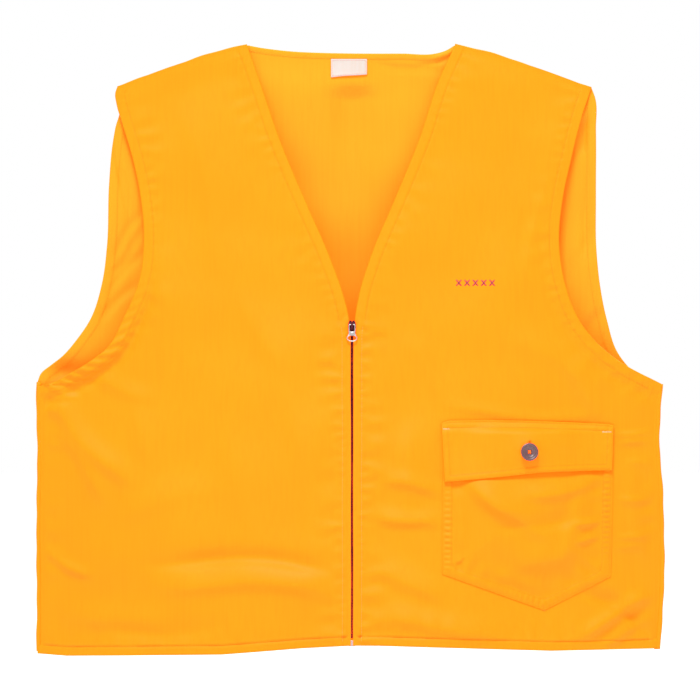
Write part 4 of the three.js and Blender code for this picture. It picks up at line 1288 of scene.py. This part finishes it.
class VEST_OT_flap(bpy.types.Operator):
    """Makes the pocket flap with its buttonhole, edge stitching and corner tacks"""

    bl_idname = "vest.flap"
    bl_label = "Flap"

    def execute(self, context):
        face = MADE["left face"]
        hole_x, hole_low, hole_high = 177.0, BUTTON_Z - 3.0, BUTTON_Z + 11.0
        slit_sides = [(hole_x - 90 - 0.5) / 171, (hole_x - 90 + 0.5) / 171]
        u = np.unique(np.concatenate([fine_ends(171.0, 44) / 171.0, slit_sides]))
        v = np.unique(fine_ends(58.0, 22) / 58.0)
        top_x = 89.0 + 172.5 * u
        top_z = np.interp(
            u, [0, 0.015, 0.05, 0.25, 0.5, 0.75, 0.97, 1],
            [-378.5, -376.6, -375.2, -374.6, -375.4, -377, -378.8, -380.5],
        )
        foot_x = 92.0 + 168.0 * u
        foot_z = np.interp(u, [0, 0.55, 1], [-436.5, -427.6, -425.0]) - 0.5 * np.sin(2 * math.pi * u)
        x = top_x[None, :] + (foot_x - top_x)[None, :] * v[:, None]
        z = top_z[None, :] + (foot_z - top_z)[None, :] * v[:, None]
        ring = np.concatenate([
            np.stack([x[:, 0], z[:, 0]], 1),
            np.stack([x[-1, 1:], z[-1, 1:]], 1),
            np.stack([x[::-1, -1], z[::-1, -1]], 1)[1:],
        ])
        d, place = nearest(ring, x, z)
        top = np.maximum(0, top_z[None, :] - z)
        thin, thick_edge = 1.1, 1.7
        thick = thin + (thick_edge - thin) * smoothstep(7.5, 5.5, np.minimum(d, top))
        thick = 0.35 + (thick - 0.35) * round_over(np.minimum(d, top))
        thick -= groove(d, 6.0) + 0.6 * groove(d, 1.6) + groove(top, 1.8) + groove(top, 7.0)
        puckers = pucker(d, place, 6.0, 4.0, 0.3, 9.0, 0.8)
        puckers += 0.25 * np.sin(x / 5.3) * np.exp(-(((top - 7) / 6) ** 2))
        slack = 0.9 * np.sin((x - 90) / 171 * math.pi * 3 + 0.6) * smoothstep(20, 55, top)
        sag = folds(x, z, [(120, -392, 160, -420, 9, 0.8), (200, -395, 245, -415, 9, 0.8)])
        lift = flap_lift(x, z) + (puckers + sag) * smoothstep(0.5, 4, top) + slack + 0.4
        level = face.level(x, z)
        # The cloth is pushed up to the back of the button.
        low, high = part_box("pocket_button")
        button = np.array((low + high) / 2) / MM
        away = np.hypot(x - button[0], z - button[2])
        k = np.unravel_index(np.argmin(away), away.shape)
        room = level[k] - lift[k] - thick[k] - button[1] - 1.7
        lift = lift + max(0.0, room - 0.6) * np.exp(-((away / 17) ** 2))
        # A raised welt of thread stands round the slit.
        welt = np.exp(-(((np.abs(x - hole_x) - 1.3) / 0.8) ** 2))
        welt = welt * smoothstep(hole_low - 2, hole_low, z) * smoothstep(hole_high + 2, hole_high, z)
        inner = np.stack([x, level - lift, z], axis=-1)
        outer = np.stack([x, level - (lift + thick + 0.25 * welt), z], axis=-1)
        middle_x, middle_z = cell_middles(x), cell_middles(z)
        slit = (np.abs(middle_x - hole_x) < 0.6) & (middle_z > hole_low) & (middle_z < hole_high)
        piece = shell("pocket_flap_cloth", outer, inner, cloth_pair(), keep=~slit)
        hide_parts("pocket_flap", "flap_lining", "buttonhole_patch")
        declare_sheet(outer)
        surface = Surface(outer)
        MADE["flap face"] = surface
        rows = []
        inset = self.inset(ring, 6.0)
        rows.append(seat(trimmed(inset, 2, 2), surface))
        rows.append(seat(trimmed(self.inset(ring, 1.7), 2, 2), surface))
        along_x = np.linspace(top_x[0] + 2, top_x[-1] - 2, 120)
        along_z = np.interp(np.linspace(0.01, 0.99, 120), u, top_z)
        for down in (1.8, 7.0):
            rows.append(seat(np.stack([along_x, along_z - down], axis=1), surface))
        near, far = hole_x - 1.4, hole_x + 1.4
        edge = np.array([
            (near, hole_low), (near, hole_high), (hole_x, hole_high + 1.6), (far, hole_high), (far, hole_low),
            (hole_x, hole_low - 1.6), (near, hole_low),
        ])
        rim = self.across(resample(edge, np.linspace(0, 1, 90)), surface, hole_x)
        orange = finish_named("orange thread")
        sewn = stitch_rows("flap_stitching", rows, orange)
        worked = stitch_rows("buttonhole_stitching", rim, orange, length=1.5, gap=1.6, radius=0.17)
        tacks = []
        for x0, x1, cz in ((91.0, 97.5, -383.6), (250.0, 259.0, -386.8)):
            for cx in np.arange(x0, x1, 0.95):
                line = np.array([(cx - 0.2, cz + 1.0), (cx, cz), (cx + 0.2, cz - 1.0)])
                tacks.append(seat(line, surface))
        tack = stitch_rows("flap_tacks", tacks, finish_named("tack thread"), length=1.9, gap=2.0, radius=0.26)
        for made in (piece, sewn, worked, tack):
            self.hinge(made)
        return {"FINISHED"}

    def hinge(self, made):
        """Bakes the piece's placement into its mesh."""
        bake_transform(made)

    def inset(self, ring, off):
        """The flap's free edges moved inward, mitred at its corners."""
        line = resample(ring, np.linspace(0, 1, 240))
        moved = offset_line(line, off)
        gap = nearest(line, moved[:, 0], moved[:, 1])[0]
        return moved[gap > off - 0.15]

    def across(self, rim, surface, hole_x):
        """Short stitches that stand across the buttonhole's edge."""
        rows = []
        for x, z in rim[::2]:
            out = np.array([x - hole_x, 0.0])
            out = out / max(abs(x - hole_x), 1e-6) if abs(x - hole_x) > 0.6 else np.array([0.0, 1.0])
            line = np.array([(x, z) - 0.8 * out, (x, z), (x, z) + 0.8 * out])
            rows.append(seat(line, surface))
        return rows


class VEST_OT_button(bpy.types.Operator):
    """Makes the button, with its raised rim, dished middle and sewn thread"""

    bl_idname = "vest.button"
    bl_label = "Button"

    def execute(self, context):
        low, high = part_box("pocket_button")
        centre = np.array((low + high) / 2) / MM
        normal = self.facing()
        horn, thread = finish_named("button horn"), finish_named("orange thread")
        profile = [
            (0, -1.5), (6.8, -1.5), (7.8, -1.2), (8.6, -0.6), (9.0, 0.1), (8.95, 0.7), (8.6, 1.2), (7.9, 1.5),
            (7.2, 1.45), (6.7, 1.1), (6.3, 0.75), (5.9, 0.85), (5.4, 0.9), (4.9, 0.75), (4.5, 0.35),
            (3.9, 0.1), (0, 0.0),
        ]
        spins = 64
        points, faces = [(0, 0, -1.5)], []
        for r, h in profile[1:-1]:
            points += [(x, y, h) for x, y in circle(spins, r)]
        points.append((0, 0, 0.0))
        rings = len(profile) - 2
        for r in range(rings - 1):
            faces += faces_between(1 + r * spins, 1 + (r + 1) * spins, spins)
        last = 1 + (rings - 1) * spins
        faces += [(0, 1 + (k + 1) % spins, 1 + k) for k in range(spins)]
        faces += [(len(points) - 1, last + k, last + (k + 1) % spins) for k in range(spins)]
        turn = Vector((0, 0, 1)).rotation_difference(Vector(normal)).to_matrix().to_4x4()
        turn = turn @ Matrix.Rotation(math.radians(8), 4, "Z")
        place = Matrix.Translation(Vector(centre) * MM) @ turn
        disc = outward(new_object("button_disc", points, faces, [horn]))
        corners = [math.pi / 4 + k * math.pi / 2 for k in range(4)]
        holes = [(1.75 * math.cos(a), 1.75 * math.sin(a)) for a in corners]
        for x, y in holes:
            spot = (x * MM, y * MM, 0)
            bpy.ops.mesh.primitive_cylinder_add(vertices=20, radius=0.8 * MM, depth=8 * MM, location=spot)
            cutter = bpy.context.active_object
            cut = disc.modifiers.new("hole", "BOOLEAN")
            cut.operation, cut.object, cut.solver = "DIFFERENCE", cutter, "EXACT"
            bpy.context.view_layer.objects.active = disc
            bpy.ops.object.modifier_apply(modifier=cut.name)
            bpy.data.objects.remove(cutter)
        disc.data.transform(place)
        sharpen(disc, 45)
        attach(disc, "vest_body")
        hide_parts("pocket_button")
        loops = []
        turn3 = np.array(turn.to_3x3())
        # A thread's path from one hole to the next: share of the way, and height over the disc.
        arch = ((0, -1.2), (0.02, -0.3), (0.12, 0.25), (0.5, 0.42), (0.88, 0.25), (0.98, -0.3), (1, -1.2))
        for a, b in ((0, 2), (1, 3)):
            for shift in (-0.26, 0.26):
                path = []
                p, q = np.array(holes[a]), np.array(holes[b])
                side = np.array([-(q - p)[1], (q - p)[0]]) / np.linalg.norm(q - p) * shift
                for t, h in arch:
                    at = p + (q - p) * t + side
                    path.append([at[0], at[1], h + (0.12 if a == 1 else 0)])
                line = centre + np.array(path) @ turn3.T
                d = np.gradient(line, axis=0)
                d /= np.linalg.norm(d, axis=1)[:, None]
                across = np.cross(d, normal)
                across /= np.maximum(np.linalg.norm(across, axis=1), 1e-6)[:, None]
                axes = across, np.cross(across, d)
                loops.append(outward(sweep(f"loop_{len(loops)}", line, circle(8, 0.24), *axes, [thread])))
        foot = MADE["pocket face"].at(centre[0], centre[2])[0]
        shank_top = centre - 1.4 * normal
        line = np.linspace(foot + 0.2 * normal, shank_top, 9)
        side = np.cross(normal, [0, 0, 1.0])
        side /= np.linalg.norm(side)
        axes = np.tile(side, (9, 1)), np.tile(np.cross(side, normal), (9, 1))
        loops.append(outward(sweep("thread_shank", line, circle(12, 0.9), *axes, [thread])))
        sewn = join("button_thread_wraps", loops)
        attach(sewn, "vest_body")
        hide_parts("button_thread")
        return {"FINISHED"}

    def facing(self):
        """The way the button looks: square to the frame's own button, from its thread to its face."""
        thread = (Vector(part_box("button_thread")[0]) + Vector(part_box("button_thread")[1])) / 2
        disc = (Vector(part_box("pocket_button")[0]) + Vector(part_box("pocket_button")[1])) / 2
        return np.array((disc - thread).normalized())


class VEST_OT_label(bpy.types.Operator):
    """Makes the plain neck label, sewn along its top"""

    bl_idname = "vest.label"
    bl_label = "Neck label"

    def execute(self, context):
        low, high = (np.array(c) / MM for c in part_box("neck_label"))
        face = MADE["back face"]
        u, v = np.linspace(0, 1, 30), np.linspace(0, 1, 18)
        uu, vv = np.meshgrid(u, v)
        x = low[0] + (high[0] - low[0]) * uu
        z = high[2] - (high[2] - low[2]) * vv * (0.80 + 0.17 * (1 - uu)) + 0.3 * np.sin(uu * 5) * vv
        edge = np.minimum(np.minimum(uu * 36, (1 - uu) * 36), (1 - vv) * 19)
        lift = 0.35 + 0.5 * vv**2 + 0.25 * np.sin(uu * math.pi) * vv
        thick = 0.25 + 0.25 * smoothstep(3.0, 2.2, edge)
        outer, inner = laid(x, z, face.level(x, z), lift, thick)
        label = shell("plain_label", outer, inner, [finish_named("label satin")])
        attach(label, "label")
        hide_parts("neck_label")
        surface = Surface(outer)
        rows = []
        for line in (
            [(low[0] + 1.4, high[2] - 1.2), (high[0] - 1.4, high[2] - 1.2)],
            [(low[0] + 1.4, high[2] - 1.2), (low[0] + 1.6, low[2] + 2.2)],
            [(high[0] - 1.4, high[2] - 1.2), (high[0] - 1.6, low[2] + 5.4)],
            [(low[0] + 1.6, low[2] + 2.2), (high[0] - 1.6, low[2] + 5.4)],
        ):
            rows.append(seat(resample(np.array(line), np.linspace(0, 1, 20)), surface))
        edge_thread = finish_named("label edge")
        sewn = stitch_rows("label_stitching", rows, edge_thread, length=1.5, gap=2.2, radius=0.2)
        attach(sewn, "label")
        return {"FINISHED"}


class VEST_OT_motif(bpy.types.Operator):
    """Makes the row of small cross-stitches on the chest"""

    bl_idname = "vest.motif"
    bl_label = "Chest motif"

    def execute(self, context):
        face = MADE["left face"]
        rows = []
        for k in range(5):
            cx, cz = 106.5 + 8.3 * k, -238.0
            for slant in (-1, 1):
                for shift in (-0.55, 0.0, 0.55):
                    ends = [(cx - 2.7 + shift, cz - 3.4 * slant), (cx + 2.7 + shift, cz + 3.4 * slant)]
                    rows.append(seat(resample(np.array(ends), np.linspace(0, 1, 7)), face))
        dark = finish_named("motif thread")
        motif = stitch_rows("chest_crosses", rows, dark, length=8.4, gap=9.0, radius=0.36)
        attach(motif, "vest_body")
        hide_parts("chest_motif")
        return {"FINISHED"}


class VEST_OT_stage(bpy.types.Operator):
    """Makes the pale floor, the soft studio light and the camera"""

    bl_idname = "vest.stage"
    bl_label = "Stage"

    def execute(self, context):
        scene = context.scene
        floor_z = HEM_LINE - 130
        size = 30000.0
        corners = [(x, y, floor_z) for x, y in ((-size, -size), (size, -size), (size, size), (-size, size))]
        floor = new_object("floor", corners, [(0, 1, 2, 3)], [self.floor_finish()])
        world = bpy.data.worlds.new("studio")
        world.use_nodes = True
        world.node_tree.nodes["Background"].inputs["Color"].default_value = (1, 1, 1, 1)
        world.node_tree.nodes["Background"].inputs["Strength"].default_value = 1.0
        scene.world = world
        for name, place, size, power in (
            ("key_light", (-0.45, -2.7, 4.5), 1.7, 810), ("back_light", (0.9, 1.5, 2.4), 1.0, 190),
        ):
            lamp = bpy.data.lights.new(name, "AREA")
            lamp.energy, lamp.size = power, size
            lit = bpy.data.objects.new(name, lamp)
            lit.location = place
            aim = Vector((0, 0, -0.3)) - Vector(place)
            lit.rotation_mode = "QUATERNION"
            lit.rotation_quaternion = aim.to_track_quat("-Z", "Y")
            scene.collection.objects.link(lit)
        camera = bpy.data.cameras.new("camera")
        distance, view_width = 12.0, 0.700
        camera.sensor_width = 36.0
        camera.lens = 36.0 * distance / view_width
        camera.clip_end = 100.0
        seen = bpy.data.objects.new("camera", camera)
        seen.location = (-0.002, -distance, -0.305)
        seen.rotation_euler = (math.pi / 2, 0, 0)
        scene.collection.objects.link(seen)
        scene.camera = seen
        scene.view_settings.view_transform = "Standard"
        return {"FINISHED"}

    def floor_finish(self):
        finish = Finish("pale_floor")
        speck = finish.noise(3.0, 3.0)
        finish.set(
            base_color=finish.blend(speck, (0.94, 0.94, 0.94, 1), (0.97, 0.97, 0.97, 1)), roughness=0.9,
            specular_ior_level=0.1, emission_color=(1, 1, 1, 1), emission_strength=0.06,
        )
        return finish.material


PIECES = (
    VEST_OT_back, VEST_OT_fronts, VEST_OT_seams, VEST_OT_zip, VEST_OT_slider, VEST_OT_pocket, VEST_OT_flap,
    VEST_OT_button, VEST_OT_label, VEST_OT_motif, VEST_OT_stage,
)


class VEST_PT_pieces(bpy.types.Panel):
    """Lists the vest's settings and pieces"""

    bl_idname = "VEST_PT_pieces"
    bl_label = "Field vest"
    bl_space_type = "VIEW_3D"
    bl_region_type = "UI"
    bl_category = "Vest"

    def draw(self, context):
        for group in (context.scene.vest_sizes, context.scene.vest_finish):
            for key in group.__annotations__:
                self.layout.prop(group, key)
        for piece in PIECES:
            self.layout.operator(piece.bl_idname)


CLASSES = (VestSizes, VestFinish, *PIECES, VEST_PT_pieces)


def register():
    for each in CLASSES:
        bpy.utils.register_class(each)
    bpy.types.Scene.vest_sizes = PointerProperty(type=VestSizes)
    bpy.types.Scene.vest_finish = PointerProperty(type=VestFinish)


def unregister():
    del bpy.types.Scene.vest_finish
    del bpy.types.Scene.vest_sizes
    for each in reversed(CLASSES):
        bpy.utils.unregister_class(each)


def main():
    register()
    for piece in PIECES:
        group, name = piece.bl_idname.split(".")
        getattr(getattr(bpy.ops, group), name)()


if __name__ == "__main__":
    main()
